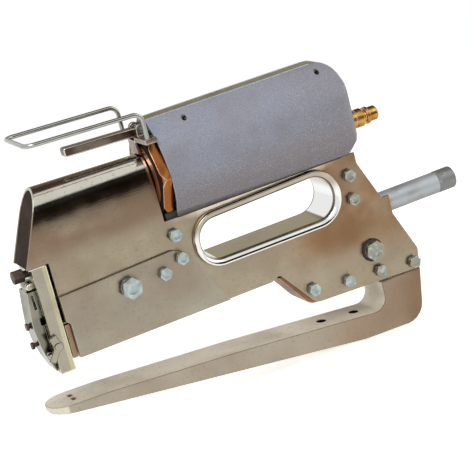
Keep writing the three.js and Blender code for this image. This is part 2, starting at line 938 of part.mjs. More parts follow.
function doorStudSolid(z) {
  return join(
    rodAlongX(doorStud.shank / 2, -doorStud.seat - doorStud.headLength, -doorStud.tip, z, smallRoundSides),
    rodAlongX(doorStud.head / 2, -doorStud.seat - doorStud.headLength, -doorStud.seat, z, smallRoundSides),
  );
}

function frontScrewSolid() {
  const head = longCut(
    hexagon(0, frontScrew.z, frontScrew.across),
    -frontScrew.seat - frontScrew.headLength,
    -frontScrew.seat,
  );
  return join(head, rodAlongX(frontScrew.shank / 2, -frontScrew.seat, -frontScrew.tip, frontScrew.z, smallRoundSides));
}

// The dark plate that closes the leaning front of the hood
function frontPlateSolid() {
  const rise = body.hoodCrest + overrun - body.hoodFloor;
  const lean = (body.hoodTopFront + body.hoodOverhang) / (body.hoodCrest - body.hoodFloor);
  const bottomFront = -body.hoodOverhang + clearance;
  const points = outline([
    [bottomFront, body.hoodFloor + clearance],
    [bottomFront + frontPlate.thickness, body.hoodFloor + clearance],
    [bottomFront + frontPlate.thickness + rise * lean, body.hoodCrest + overrun],
    [bottomFront + rise * lean, body.hoodCrest + overrun],
  ]);
  return sideCut(points, -halfWidth, halfWidth).intersect(archRun(body.sheet + clearance));
}

function catchPin() {
  const face = halfWidth + noseCatch.sheet + clearance;
  const seat = -halfWidth + nosePin.depth - clearance;
  return join(
    rodAlongY(nosePin.radius, -face, seat, -nosePin.x, nosePin.z),
    rodAlongY(nosePin.headRadius, -face - nosePin.headLength, -face, -nosePin.x, nosePin.z),
  );
}

function noseCatchSolid() {
  const bar = (x, z, width) => {
    const from = new THREE.Vector2(-nosePin.x, nosePin.z);
    const run = new THREE.Vector2(-x, z).sub(from);
    const across = new THREE.Vector2(-run.y, run.x).setLength(width / 2);
    const end = from.clone().add(run);
    return [
      from.clone().add(across),
      from.clone().sub(across),
      end.clone().sub(across),
      end.clone().add(across),
    ];
  };
  const low = -halfWidth - noseCatch.sheet;
  const plate = join(
    rodAlongY(noseCatch.eyeRadius, low, -halfWidth, -nosePin.x, nosePin.z),
    sideCut(bar(noseCatch.thumbX, noseCatch.thumbZ, noseCatch.thumbWidth), low, -halfWidth),
    sideCut(bar(noseCatch.hookX, noseCatch.hookZ, noseCatch.hookWidth), low, -halfWidth),
  );
  return cut(plate, rodAlongY(nosePin.radius + clearance, low - overrun, 0, -nosePin.x, nosePin.z));
}

// Magazine

function magazineChannel() {
  const wallOuter = channelHalf + magazine.sheet;
  const flangeZ = magazine.flangeTop - magazine.sheet;
  const section = outline([
    [-wallOuter, magazine.floor],
    [wallOuter, magazine.floor],
    [wallOuter, flangeZ],
    [blockHalf, flangeZ],
    [blockHalf, magazine.flangeTop],
    [channelHalf, magazine.flangeTop],
    [channelHalf, magazine.floor + magazine.sheet],
    [-channelHalf, magazine.floor + magazine.sheet],
    [-channelHalf, magazine.flangeTop],
    [-blockHalf, magazine.flangeTop],
    [-blockHalf, flangeZ],
    [-wallOuter, flangeZ],
  ]);
  const mouth = box(
    -magazine.mouthFront,
    -clearance,
    -magazine.mouthWidth / 2,
    magazine.mouthWidth / 2,
    magazine.floor,
    magazine.mouthTop,
  );
  const passage = box(
    -magazine.mouthFront - overrun,
    overrun,
    -channelHalf,
    channelHalf,
    magazine.floor + magazine.sheet,
    magazine.flangeTop,
  );
  return join(longCut(section, -magazine.mouthFront, magazine.rear), cut(mouth, passage));
}

function magazineRail() {
  const half = staple.crown / 2 - staple.wire - clearance;
  return box(-driver.x + driver.blade, magazine.rear, -half, half, staple.legBottom, railTop);
}

// The stapled U section shared by the staples and the pusher that rides on the rail
function saddleSection(top) {
  const half = staple.crown / 2;
  const inner = half - staple.wire;
  const underside = staple.crownTop - staple.wire;
  return outline([
    [-half, staple.legBottom],
    [-inner, staple.legBottom],
    [-inner, underside],
    [inner, underside],
    [inner, staple.legBottom],
    [half, staple.legBottom],
    [half, top],
    [-half, top],
  ]);
}

function stapleStrip() {
  const front = -driver.x + driver.blade / 2 + clearance;
  return longCut(saddleSection(staple.crownTop), front, staple.stripEnd);
}

function pusherSolid() {
  const socket = rodAlongX(
    pusherRod.radius + clearance,
    pusherRear - pusher.socket,
    pusherRear + overrun,
    pusherRod.z,
    smallRoundSides,
  );
  return cut(longCut(saddleSection(pusher.top), pusherFront, pusherRear), socket);
}

function pusherRodSolid() {
  return rodAlongX(
    pusherRod.radius,
    pusherRear - pusher.socket + clearance,
    pusherRod.rear,
    pusherRod.z,
    smallRoundSides,
  );
}

function knobTube() {
  const { front, radius, capFront, chamfer } = knob;
  const bore = pusherRod.radius + clearance;
  const tube = turnedAlongX(
    [[0, front], [radius - chamfer, front], [radius, front + chamfer], [radius, capFront], [0, capFront]],
    pusherRod.z,
  );
  return cut(tube, rodAlongX(bore, front - overrun, capFront + overrun, pusherRod.z, smallRoundSides));
}

function knobCap() {
  const { capFront, capRear, capRadius, chamfer } = knob;
  const front = capFront + clearance;
  const cap = turnedAlongX(
    [[0, front], [capRadius, front], [capRadius, capRear - chamfer], [capRadius - chamfer, capRear], [0, capRear]],
    pusherRod.z,
  );
  const socket = rodAlongX(
    pusherRod.radius + clearance,
    front - overrun,
    pusherRod.rear + clearance,
    pusherRod.z,
    smallRoundSides,
  );
  return cut(cap, socket);
}

// Bell crank and driver

// Drawn with its arms along Z and -X, then turned back to where the piston rests
function bellCrank() {
  const upperTip = upperReach / Math.cos(swing) + crank.tipReach - crank.slotClearance;
  const frontTip = frontReach + crank.frontTipReach;
  const upperArm = rectangle(-crank.upperHalfWidth, 0, crank.upperHalfWidth, upperTip);
  const frontArm = rectangle(-frontTip, -crank.frontHalfWidth, 0, crank.frontHalfWidth);
  const half = crank.thickness / 2;
  const upperSlotHalf = clevis.pin + crank.slotClearance;
  const frontSlotHalf = driver.pinRadius + crank.slotClearance;
  const blank = join(
    rodAlongY(crank.hubRadius, -half, half, 0, 0, roundSides),
    rodAlongY(crank.bossRadius, -blockHalf, blockHalf, 0, 0, roundSides),
    sideCut(upperArm, -half, half),
    sideCut(frontArm, -half, half),
    sideCut(
      outline([
        [-crank.upperHalfWidth, upperReach / 2],
        [-frontReach / 2, crank.frontHalfWidth],
        [0, 0],
      ]),
      -half,
      half,
    ),
  );
  const upperRoot = upperReach - clevis.pin - crank.slotRoot;
  const frontRoot = frontReach - driver.pinRadius - crank.slotRoot;
  const slots = [
    box(-upperSlotHalf, upperSlotHalf, -halfWidth, halfWidth, upperRoot, upperTip + overrun),
    box(-frontTip - overrun, -frontRoot, -halfWidth, halfWidth, -frontSlotHalf, frontSlotHalf),
    rodAlongY(largeBolt.shank / 2 + clearance, -halfWidth, halfWidth, 0, 0, roundSides),
  ];
  return cut(blank, ...slots)
    .rotate([0, crank.halfSwing, 0])
    .translate([crank.pivotX, 0, crank.pivotZ]);
}

function driverHolder() {
  const half = driver.holderWidth / 2;
  const inner = half - driver.cheek;
  const front = -nose.cavityFront + clearance;
  const rear = -nose.rear - clearance;
  const bottom = driverPinZ - driver.holderBelow;
  const top = driverPinZ + driver.holderAbove;
  const bladeHalf = driver.blade / 2 + clearance;
  const block = cut(
    box(front, rear, -half, half, bottom - driver.holderFloor, top),
    box(front - overrun, rear + overrun, -inner, inner, bottom, top + overrun),
    box(
      -driver.x - bladeHalf,
      -driver.x + bladeHalf,
      -channelHalf,
      channelHalf,
      bottom - driver.holderFloor - overrun,
      bottom - driver.holderSkin,
    ),
  );
  return join(block, rodAlongY(driver.pinRadius, -half, half, -driver.x, driverPinZ));
}

function driverBlade() {
  const top = driverPinZ - driver.holderBelow - driver.holderSkin - clearance;
  const half = staple.crown / 2;
  return box(
    -driver.x - driver.blade / 2,
    -driver.x + driver.blade / 2,
    -half,
    half,
    driver.restTip,
    top,
  );
}

// Air cylinder

function cylinderTube() {
  return cut(
    rodAlongX(cylinder.outer / 2, cylinder.front, cylinder.rear, cylinder.z),
    rodAlongX(cylinder.bore / 2, cylinder.front - overrun, cylinder.rear + overrun, cylinder.z),
  );
}

// A hexagon in front of the housing, turned down where it goes in between the covers
function glandNut() {
  const rear = cylinder.front - clearance;
  const corner = gland.across / 2 / Math.cos(Math.PI / hexSides);
  const shoulder = housingFrontAt(cylinder.z + gland.across / 2) - clearance;
  const turned = housing.waistHalfWidth - housing.wall - clearance;
  const hex = longCut(hexagon(0, cylinder.z, gland.across), gland.front, rear);
  const envelope = turnedAlongX(
    [
      [0, gland.front],
      [corner - gland.chamfer, gland.front],
      [corner, gland.front + gland.chamfer],
      [corner, shoulder],
      [turned, shoulder],
      [turned, rear],
      [0, rear],
    ],
    cylinder.z,
  );
  return cut(
    join(
      hex.intersect(envelope),
      rodAlongX(cylinder.bore / 2 - clearance, rear, rear + cylinder.spigot, cylinder.z),
    ),
    rodAlongX(rod.radius + clearance, gland.front - overrun, rear + cylinder.spigot + overrun, cylinder.z),
  );
}

function rearHeadSolid() {
  const front = cylinder.rear + clearance;
  const blank = join(
    rodAlongX(cylinder.outer / 2, front, rearHead.rear, cylinder.z),
    rodAlongX(cylinder.bore / 2 - clearance, front - rearHead.spigot, front, cylinder.z),
  );
  const inside = housingBlock(housing.wall + clearance);
  const port = rodAlongX(rearHead.portRadius, rearHead.rear - rearHead.portDepth, housing.rear, nipple.z);
  return cut(blank.intersect(inside), port);
}

function airNipple() {
  const start = rearHead.rear - rearHead.portDepth + clearance;
  const shoulder = housing.rear + clearance;
  const profile = [
    [0, start],
    [nipple.thread, start],
    [nipple.thread, shoulder],
    [nipple.neck, shoulder],
    [nipple.neck, nipple.neckEnd],
    [nipple.groove, nipple.neckEnd],
    [nipple.groove, nipple.grooveEnd],
    [nipple.collar, nipple.grooveEnd],
    [nipple.collar, nipple.collarEnd],
    [nipple.tail, nipple.collarEnd],
    [nipple.tail, nipple.end - nipple.round],
    [nipple.tail - nipple.round, nipple.end],
    [0, nipple.end],
  ];
  const bore = rodAlongX(nipple.bore, start - overrun, nipple.end + overrun, nipple.z, smallRoundSides);
  return cut(turnedAlongX(profile, nipple.z), bore);
}

function pistonSolid() {
  const { restFront, length, sealLength, sealDepth } = piston;
  const radius = cylinder.bore / 2 - clearance;
  const sealFront = restFront + (length - sealLength) / 2;
  const groove = cut(
    rodAlongX(radius + overrun, sealFront - clearance, sealFront + sealLength + clearance, cylinder.z),
    rodAlongX(radius - sealDepth - clearance, sealFront - overrun, sealFront + sealLength + overrun, cylinder.z),
  );
  return cut(
    rodAlongX(radius, restFront, restFront + length, cylinder.z),
    groove,
    rodAlongX(rod.neck + clearance, restFront - overrun, restFront + length + overrun, cylinder.z),
  );
}

function pistonSeal() {
  const { restFront, length, sealLength, sealDepth, sealGap } = piston;
  const sealFront = restFront + (length - sealLength) / 2;
  const rear = sealFront + sealLength;
  return cut(
    rodAlongX(cylinder.bore / 2 - sealGap, sealFront, rear, cylinder.z),
    rodAlongX(cylinder.bore / 2 - clearance - sealDepth, sealFront - overrun, rear + overrun, cylinder.z),
  );
}

function pistonRod() {
  const shoulder = clevisX + clevis.rear + clearance;
  return join(
    rodAlongX(rod.neck, clevisX + clevis.bridge + clearance, piston.restFront + piston.length, cylinder.z),
    rodAlongX(rod.radius, shoulder, piston.restFront - clearance, cylinder.z),
  );
}

function clevisSolid() {
  const { front, bridge, rear, halfHeight, cheekInner, cheekOuter } = clevis;
  const low = cylinder.z - halfHeight;
  const high = cylinder.z + halfHeight;
  return cut(
    box(clevisX - front, clevisX + rear, -cheekOuter, cheekOuter, low, high),
    box(clevisX - front - overrun, clevisX + bridge, -cheekInner, cheekInner, low - overrun, high + overrun),
    rodAlongX(rod.neck + clearance, clevisX + bridge - overrun, clevisX + rear + overrun, cylinder.z),
    rodAlongY(clevis.pin + clearance, -halfWidth, halfWidth, clevisX, cylinder.z),
  );
}

function clevisPin() {
  return rodAlongY(clevis.pin, -clevis.cheekOuter, clevis.cheekOuter, clevisX, cylinder.z);
}

// Carries the cylinder between the side plates, and shows as the dark base under the gland nut
function saddleSolid() {
  const front = gland.front + clearance;
  const nutFloor = cylinder.z - gland.across / 2 - clearance;
  return cut(
    box(front, saddle.rear, -blockHalf, blockHalf, saddle.bottom, saddle.top),
    rodAlongX(cylinder.outer / 2 + clearance, front - overrun, saddle.rear + overrun, cylinder.z),
    box(front - overrun, cylinder.front + clearance, -halfWidth, halfWidth, nutFloor, saddle.top + overrun),
  );
}

// Grip housing

// Where the leaning front edge of the covers lies at a height
function housingFrontAt(z) {
  const share = (z - housing.bottom) / (housing.top - housing.bottom);
  return housing.front + share * (housing.topFront - housing.front);
}

function housingSide() {
  return outline([
    [housing.front, housing.bottom],
    [housing.bottomRear, housing.bottom, housing.lowRadius],
    [housing.rear, housing.rearLower, housing.rearRadius],
    [housing.rear - housing.wall, housing.rearUpper, housing.rearRadius],
    [housing.topRear, housing.top, housing.rearRadius],
    [housing.topFront, housing.top],
  ]);
}

// The section's right half by shares, closed across the bottom, and mirrored
function housingSection(insetBy, floor) {
  const height = housing.top - housing.bottom;
  const right = housingSectionShares.map(
    ([wide, high]) => new THREE.Vector2(wide * housing.waistHalfWidth, housing.bottom + high * height),
  );
  right.unshift(new THREE.Vector2(housing.bottomHalfWidth, housing.bottom));
  const smooth = new THREE.SplineCurve(right).getPoints(housingCurveSteps);
  const left = smooth.map((point) => new THREE.Vector2(-point.x, point.y)).reverse();
  const shrunk = inset([...smooth, ...left], insetBy);
  if (floor) {
    shrunk[0].set(shrunk[0].x, housing.bottom - overrun);
    shrunk.at(-1).set(-shrunk[0].x, housing.bottom - overrun);
  }
  return shrunk;
}
const housingCurveSteps = 14;

function housingBlock(insetBy) {
  const side = insetBy > 0 ? openFront(inset(housingSide(), insetBy)) : housingSide();
  const section = housingSection(insetBy, insetBy > 0);
  const run = longCut(section, housing.topFront - 2 * overrun, housing.rear + overrun);
  const half = housing.waistHalfWidth - insetBy;
  const plan = outline([
    [housing.topFront - overrun, -half],
    [housing.rear - insetBy, -half, housing.planRadius - insetBy],
    [housing.rear - insetBy, half, housing.planRadius - insetBy],
    [housing.topFront - overrun, half],
  ]);
  return run
    .intersect(sideCut(side, -housing.waistHalfWidth, housing.waistHalfWidth))
    .intersect(planCut(plan, housing.bottom - overrun, housing.top + overrun));
}

// Lets an inner outline run out through the front and the bottom of the housing
function openFront(points) {
  const lowest = Math.min(...points.map((point) => point.y));
  return points.map((point) => {
    const moved = point.clone();
    if (point.x < housing.front + 2 * housing.wall) moved.x -= 2 * overrun;
    if (point.y < lowest + clearance) moved.y = housing.bottom - overrun;
    return moved;
  });
}

function coverHalf(side) {
  const shell = cut(housingBlock(0), housingBlock(housing.wall));
  const far = housing.waistHalfWidth + overrun;
  const half = spine.width / 2 + clearance;
  const away = [-side * far, side * (clearance / 2)].sort((a, b) => a - b);
  const reach = [housing.topFront - overrun, housing.rear + overrun];
  const skirtTop = housing.top - spine.skirt;
  const hole = (x) =>
    rodAlongY(housing.screwRadius, side < 0 ? -far : 0, side < 0 ? 0 : far, x, housing.screwZ);
  const portRadius = nipple.thread + clearance;
  return cut(
    shell,
    box(...reach, ...away, housing.bottom - overrun, housing.top + overrun),
    box(...reach, -half, half, skirtTop, housing.top + overrun),
    rodAlongX(portRadius, rearHead.rear - overrun, housing.rear + overrun, nipple.z),
    hole(housing.screwFrontX),
    hole(housing.screwRearX),
  );
}

function spineSolid() {
  const half = spine.width / 2;
  const skirtTop = housing.top - spine.skirt + clearance;
  const cap = housingBlock(0).intersect(
    box(housing.topFront, housing.rear, -half, half, skirtTop, housing.top + overrun),
  );
  const hollow = sideCut(openFront(inset(housingSide(), spine.wall)), -halfWidth, halfWidth);
  const web = box(
    spine.webFront,
    spine.webRear,
    -spine.web / 2,
    spine.web / 2,
    valve.bottom,
    housing.top - spine.wall / 2,
  );
  return join(cut(cap, hollow), web);
}

// Valve, trigger and guard

function valveBody() {
  const boss = box(
    housing.screwFrontX - valve.bossLength / 2,
    housing.screwFrontX + valve.bossLength / 2,
    -valve.bossWidth / 2,
    valve.bossWidth / 2,
    housing.screwZ - valve.bossLength / 2,
    valve.top,
  );
  return cut(
    join(box(valve.front, valve.rear, -valve.width / 2, valve.width / 2, valve.bottom, valve.top), boss),
    rodAlongX(valve.stemRadius + clearance, valve.front - overrun, valve.rear, valve.stemZ, smallRoundSides),
    rodAlongX(valve.chamberRadius, valve.chamberFront, valve.rear + overrun, valve.stemZ, smallRoundSides),
  );
}

function valveStem() {
  const collarRear = valve.collarFront + valve.collarLength;
  return join(
    rodAlongX(valve.stemRadius, valve.stemTip, valve.stemEnd, valve.stemZ, smallRoundSides),
    rodAlongX(valve.collarRadius, valve.collarFront, collarRear, valve.stemZ, smallRoundSides),
  );
}

function valveSpringSolid() {
  const front = valve.collarFront + valve.collarLength + clearance;
  return coil(valveSpring, front, spine.webFront - clearance, valve.stemZ);
}

function triggerLever() {
  const half = trigger.width / 2;
  const lever = sideCut(
    outline([
      [trigger.tipX, trigger.tipBottom, trigger.cornerRadius],
      [bracket.front, trigger.rootBottom],
      [trigger.heelFront, trigger.rootBottom],
      [trigger.heelFront, trigger.heelBottom, trigger.cornerRadius],
      [trigger.tailX, trigger.heelBottom, trigger.cornerRadius],
      [trigger.tailX, trigger.tailTop, trigger.cornerRadius],
      [trigger.tipX, trigger.tipTop, trigger.cornerRadius],
    ]),
    -half,
    half,
  );
  return cut(
    lever,
    rodAlongY(trigger.pinRadius + clearance, -halfWidth, halfWidth, trigger.pivotX, trigger.pivotZ),
  );
}

function triggerPin() {
  const end = trigger.width / 2 + clearance + bracket.ear;
  return rodAlongY(trigger.pinRadius, -end, end, trigger.pivotX, trigger.pivotZ);
}

function guardBracket() {
  const inner = trigger.width / 2 + clearance;
  const outer = inner + bracket.ear;
  const half = bracket.width / 2;
  const crest = body.hoodCrest - body.hoodFall + 2 * clearance;
  const ears = sideCut(
    outline([
      [bracket.earFront, bracket.bottom],
      [bracket.rear, bracket.bottom],
      [bracket.rear, bracket.earTop, bracket.ear],
      [bracket.earFront, bracket.earTop, bracket.ear],
    ]),
    -outer,
    outer,
  );
  const bar = box(bracket.front, bracket.rear, -half, half, bracket.bottom, bracket.top);
  const foot = box(
    bracket.footFront,
    bracket.footRear,
    -bracket.footWidth / 2,
    bracket.footWidth / 2,
    crest,
    bracket.groove,
  );
  const legHole = (y) =>
    rodAlongZ(guard.radius + clearance, guard.legBottom - clearance, bracket.top + overrun, guard.rear, y, 8);
  return cut(
    join(bar, ears, foot),
    box(bracket.footFront - overrun, bracket.rear + overrun, -inner, inner, bracket.groove, bracket.earTop + overrun),
    box(bracket.footRear + clearance, bracket.rear + overrun, -inner, inner, crest, bracket.groove + overrun),
    rodAlongY(trigger.pinRadius + clearance, -halfWidth, halfWidth, trigger.pivotX, trigger.pivotZ),
    legHole(-guard.width / 2),
    legHole(guard.width / 2),
  );
}

// A U of wire in plan, its ends bent down into the bracket
function guardBow() {
  const half = guard.width / 2;
  const { front, rear, frontZ, rearZ, legBottom, bend } = guard;
  const corners = [
    [rear, -half, legBottom],
    [rear, -half, rearZ],
    [front, -half, frontZ],
    [front, half, frontZ],
    [rear, half, rearZ],
    [rear, half, legBottom],
  ].map((place) => new THREE.Vector3(...place));
  const path = new THREE.CurvePath();
  let last = corners[0];
  corners.slice(1, -1).forEach((corner, i) => {
    const start = corner.clone().add(corners[i].clone().sub(corner).setLength(bend));
    const end = corner.clone().add(corners[i + 2].clone().sub(corner).setLength(bend));
    path.add(new THREE.LineCurve3(last, start));
    path.add(new THREE.QuadraticBezierCurve3(start, corner, end));
    last = end;
  });
  path.add(new THREE.LineCurve3(last, corners.at(-1)));
  return wireAlong(path, guard.radius, guard.sides, guard.steps);
}

// Anvil arm

function armOutline() {
  const length = arm.innerX - arm.tipX;
  const drop = arm.tipZ - arm.elbowZ;
  const depth = arm.tipZ - arm.tipDrop - arm.heelZ;
  const shoulder = -body.tailDrop - clearance;
  const top = armTopShares.map(([along, down]) => [arm.tipX + along * length, arm.tipZ - down * drop]);
  const underside = armUndersideShares.map(([along, down]) => [
    arm.tipX + along * (arm.rearBottomX - arm.tipX),
    arm.tipZ - arm.tipDrop - down * depth,
  ]);
  return outline([
    [arm.tipX, arm.tipZ],
    ...top,
    [arm.innerX, arm.elbowZ, arm.innerRadius],
    [arm.innerX, shoulder],
    [arm.rearTopX, shoulder],
    [arm.rearBottomX, arm.heelZ, arm.heelRadius],
    ...underside.reverse(),
    [arm.tipX, arm.tipZ - arm.tipDrop, arm.tipDrop / 2],
  ]);
}

function armTongue() {
  const shoulder = -body.tailDrop - clearance;
  return join(
    rodAlongY(arm.eyeRadius, -blockHalf, blockHalf, arm.pivotX, arm.pivotZ, roundSides),
    sideCut(
      outline([
        [arm.tongueFront, shoulder - overrun],
        [arm.tongueRear, shoulder - overrun],
        [arm.tongueRear, arm.tongueTop, arm.eyeRadius],
        [arm.pivotX, arm.pivotZ + arm.eyeRadius],
        [arm.pivotX - arm.eyeRadius / 2, arm.pivotZ],
        [arm.pivotX, arm.pivotZ - arm.eyeRadius],
        [arm.tongueFront, arm.tongueTop],
      ]),
      -blockHalf,
      blockHalf,
    ),
  );
}

// Half of an ellipse in plan rounds the tip
function armPlan() {
  const half = arm.width / 2;
  const centre = arm.tipX + arm.tipLength;
  const points = [
    new THREE.Vector2(arm.rearTopX + overrun, -half),
    new THREE.Vector2(arm.rearTopX + overrun, half),
  ];
  for (let k = 0; k <= roundSides / 2; k += 1) {
    const angle = (2 * Math.PI * k) / roundSides;
    points.push(
      new THREE.Vector2(centre - arm.tipLength * Math.sin(angle), half * Math.cos(angle)),
    );
  }
  return points;
}

function anvilArm() {
  const bar = sideCut(armOutline(), -arm.width / 2, arm.width / 2);
  const shaped = bar.intersect(planCut(armPlan(), arm.heelZ - overrun, overrun));
  const pocket = (side) =>
    box(
      -driver.x - arm.pocketWidth / 2,
      -driver.x + arm.pocketWidth / 2,
      side * arm.pocketGap - arm.pocketLength / 2,
      side * arm.pocketGap + arm.pocketLength / 2,
      arm.tipZ - arm.pocketDepth - clearance,
      overrun,
    );
  const hole = (x) => rodAlongZ(arm.holeRadius, arm.heelZ - overrun, overrun, x, 0);
  return cut(
    join(shaped, armTongue()),
    pocket(-1),
    pocket(1),
    hole(arm.holeFrontX),
    hole(arm.holeRearX),
    rodAlongY(largeBolt.shank / 2 + clearance, -halfWidth, halfWidth, arm.pivotX, arm.pivotZ, roundSides),
  );
}

function pivotBushSolid(side) {
  const outer = side * halfWidth;
  const inner = side * (halfWidth - pivotBush.seat);
  const [low, high] = [outer, inner].sort((a, b) => a - b);
  return cut(
    rodAlongY(pivotBush.outer - clearance, low, high, arm.pivotX, arm.pivotZ, roundSides),
    rodAlongY(largeBolt.shank / 2 + clearance, low - overrun, high + overrun, arm.pivotX, arm.pivotZ),
  );
}

// The whole tool

const pieces = [
  piece("body_shell", bodyShell(), "nickel"),
  piece("slot_liner", slotLiner(), "polished"),
  piece("magazine_cover_left", sideCoverSolid(-1), "nickel"),
  piece("magazine_cover_right", sideCoverSolid(1), "nickel"),
  piece("front_plate", frontPlateSolid(), "charcoal"),
  piece("front_spacer", frontSpacerSolid(), "steel"),
  piece("rear_spacer", rearSpacerSolid(), "steel"),
  piece("tail_spacer", tailSpacerSolid(), "gunmetal"),
  piece("nose_guide", noseGuide(), "polished"),
  piece("nose_door", noseDoorSolid(), "nickel"),
  piece("door_stud_upper", doorStudSolid(doorStud.upperZ), "gunmetal"),
  piece("door_stud_lower", doorStudSolid(doorStud.lowerZ), "gunmetal"),
  piece("front_screw", frontScrewSolid(), "gunmetal"),
  piece("catch_pin", catchPin(), "zinc"),
  piece("nose_catch", noseCatchSolid(), "nickel"),
  piece("magazine_channel", magazineChannel(), "gunmetal"),
  piece("magazine_rail", magazineRail(), "steel"),
  piece("staple_strip", stapleStrip(), "zinc"),
  piece("pusher", pusherSolid(), "steel"),
  piece("pusher_rod", pusherRodSolid(), "polished"),
  piece("pusher_spring", coil(pusherSpring, pusherRear + clearance, rearSpacer.front - clearance, pusherRod.z), "steel"),
  piece("knob_tube", knobTube(), "aluminium"),
  piece("knob_cap", knobCap(), "aluminium"),
  piece("bell_crank", bellCrank(), "steel"),
  piece("driver_holder", driverHolder(), "steel"),
  piece("driver_blade", driverBlade(), "polished"),
  piece("cylinder_tube", cylinderTube(), "aluminium"),
  piece("gland_nut", glandNut(), "brass"),
  piece("rear_head", rearHeadSolid(), "aluminium"),
  piece("air_nipple", airNipple(), "gold"),
  piece("piston", pistonSolid(), "aluminium"),
  piece("piston_seal", pistonSeal(), "rubber"),
  piece("piston_rod", pistonRod(), "polished"),
  piece("clevis", clevisSolid(), "steel"),
  piece("clevis_pin", clevisPin(), "polished"),
  piece("saddle", saddleSolid(), "blackPlastic"),
  piece("cover_left", coverHalf(-1), "greyPaint"),
  piece("cover_right", coverHalf(1), "greyPaint"),
  piece("spine", spineSolid(), "aluminium"),
  piece("valve_body", valveBody(), "aluminium"),
  piece("valve_stem", valveStem(), "polished"),
  piece("valve_spring", valveSpringSolid(), "steel"),
  piece("trigger_lever", triggerLever(), "polished"),
  piece("trigger_pin", triggerPin(), "zinc"),
  piece("guard_bracket", guardBracket(), "steel"),
  piece("guard_bow", guardBow(), "polished"),
  piece("anvil_arm", anvilArm(), "nickel"),
  piece("pivot_bush_left", pivotBushSolid(-1), "blackPlastic"),
  piece("pivot_bush_right", pivotBushSolid(1), "blackPlastic"),
  piece("crank_bolt", throughBolt({ ...crankBolt, size: largeBolt, face: coverFace }), "zinc"),
  piece("arm_bolt", throughBolt({ ...armBolt, size: largeBolt, face: halfWidth }), "zinc"),
  ...smallBoltPlaces.map(({ name, x, z, over }) => {
    const face = over === "cover" ? coverFace : halfWidth;
    return piece(name, throughBolt({ x, z, size: smallBolt, face }), "zinc");
  }),
];

const stapler = new THREE.Group();
stapler.name = "air_stapler";
stapler.add(...pieces);
stapler.position.set(-slot.centreX, 0, -slot.centreZ);

const model = new THREE.Group();
model.add(stapler);
export default model;
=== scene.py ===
"""Air stapler: the dressed model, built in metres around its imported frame.

X runs from the nose to the rear and Z up, and the left side of the tool faces -Y. Sizes are written in
millimetres in the drawing's places, where X = 0 and Z = 0 are the front bottom corner of the side
plates. The function at() moves such a place into the frame, whose origin is the hand slot's centre,
and drawn() gives it back.
"""

import logging
import math
from contextlib import contextmanager
from dataclasses import dataclass, replace
from enum import Enum
from typing import Callable, Iterator, Sequence, Union

import bmesh
import bpy
from mathutils import Matrix, Vector


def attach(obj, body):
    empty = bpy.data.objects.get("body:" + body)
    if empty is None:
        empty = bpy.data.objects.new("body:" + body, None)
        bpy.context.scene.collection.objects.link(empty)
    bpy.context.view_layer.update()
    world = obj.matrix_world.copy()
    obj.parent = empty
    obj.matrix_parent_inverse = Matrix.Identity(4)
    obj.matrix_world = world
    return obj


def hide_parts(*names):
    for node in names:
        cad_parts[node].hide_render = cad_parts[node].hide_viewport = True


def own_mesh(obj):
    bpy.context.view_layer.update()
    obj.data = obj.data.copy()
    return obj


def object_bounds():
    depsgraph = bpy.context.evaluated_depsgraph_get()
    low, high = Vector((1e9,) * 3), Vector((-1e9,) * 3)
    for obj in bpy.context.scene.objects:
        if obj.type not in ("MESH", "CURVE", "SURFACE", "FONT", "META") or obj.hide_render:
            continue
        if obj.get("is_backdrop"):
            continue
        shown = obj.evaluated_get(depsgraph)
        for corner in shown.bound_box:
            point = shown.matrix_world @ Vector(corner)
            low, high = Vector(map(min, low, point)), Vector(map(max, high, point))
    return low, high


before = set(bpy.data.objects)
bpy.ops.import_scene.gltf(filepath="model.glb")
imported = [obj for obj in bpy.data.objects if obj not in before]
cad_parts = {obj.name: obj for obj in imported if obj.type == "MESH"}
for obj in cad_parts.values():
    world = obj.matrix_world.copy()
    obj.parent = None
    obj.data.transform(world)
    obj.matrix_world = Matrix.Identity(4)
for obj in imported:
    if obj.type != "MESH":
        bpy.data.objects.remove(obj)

log = logging.getLogger("air_stapler")

Colour = tuple[float, float, float]
Triple = tuple[float, float, float]
Place = tuple[float, float]
Mesh = bpy.types.Mesh
Piece = bpy.types.Object
Socket = bpy.types.NodeSocket
Value = Union[Socket, float, Sequence[float]]

MM = 0.001
DRAWN_CENTRE = Vector((151.3, 0.0, 44.3))
# Half-widths of the body over its plates and over the lower covers, in millimetres.
PLATE_FACE = 15.3
COVER_FACE = 17.6
# The sign of Y on each side, and the tilt in degrees that turns a head outwards there.
FACINGS = ((-1, 90), (1, -90))
RING_SIDES = 72
ARC_POINTS = 12
# How far apart doubles may lie, in metres: on what is made here, on swept sheets, on CAD copies.
MERGE = 2e-6
SWEPT_MERGE = 1e-5
COPY_MERGE = 2e-5
FLAT_ANGLE = math.radians(0.8)
SHARP_ANGLE = math.radians(50)
FACE_WEIGHT = 90


def at(x: float, y: float, z: float) -> Vector:
    """Give a drawn place in millimetres as a place in the frame, in metres."""
    return (Vector((x, y, z)) - DRAWN_CENTRE) * MM


def drawn(place: Vector) -> Triple:
    """Give a place in the frame as a drawn place in millimetres."""
    return tuple(value / MM + middle for value, middle in zip(place, DRAWN_CENTRE))


def srgb(red: int, green: int, blue: int) -> Colour:
    """Turn a colour of 0 to 255 per channel into the linear values that sockets take.

    Args:
        red: Red as a screen shows it.
        green: Green as a screen shows it.
        blue: Blue as a screen shows it.

    Returns:
        The three linear values.
    """

    def linear(channel: int) -> float:
        """Give one channel without the screen's curve."""
        share = channel / 255
        return share / 12.92 if share <= 0.04045 else ((share + 0.055) / 1.055) ** 2.4

    return linear(red), linear(green), linear(blue)


def mixed(first: Colour, second: Colour, share: float) -> Colour:
    """Give the colour that lies a share of the way from the first to the second."""
    return tuple(a + (b - a) * share for a, b in zip(first, second))


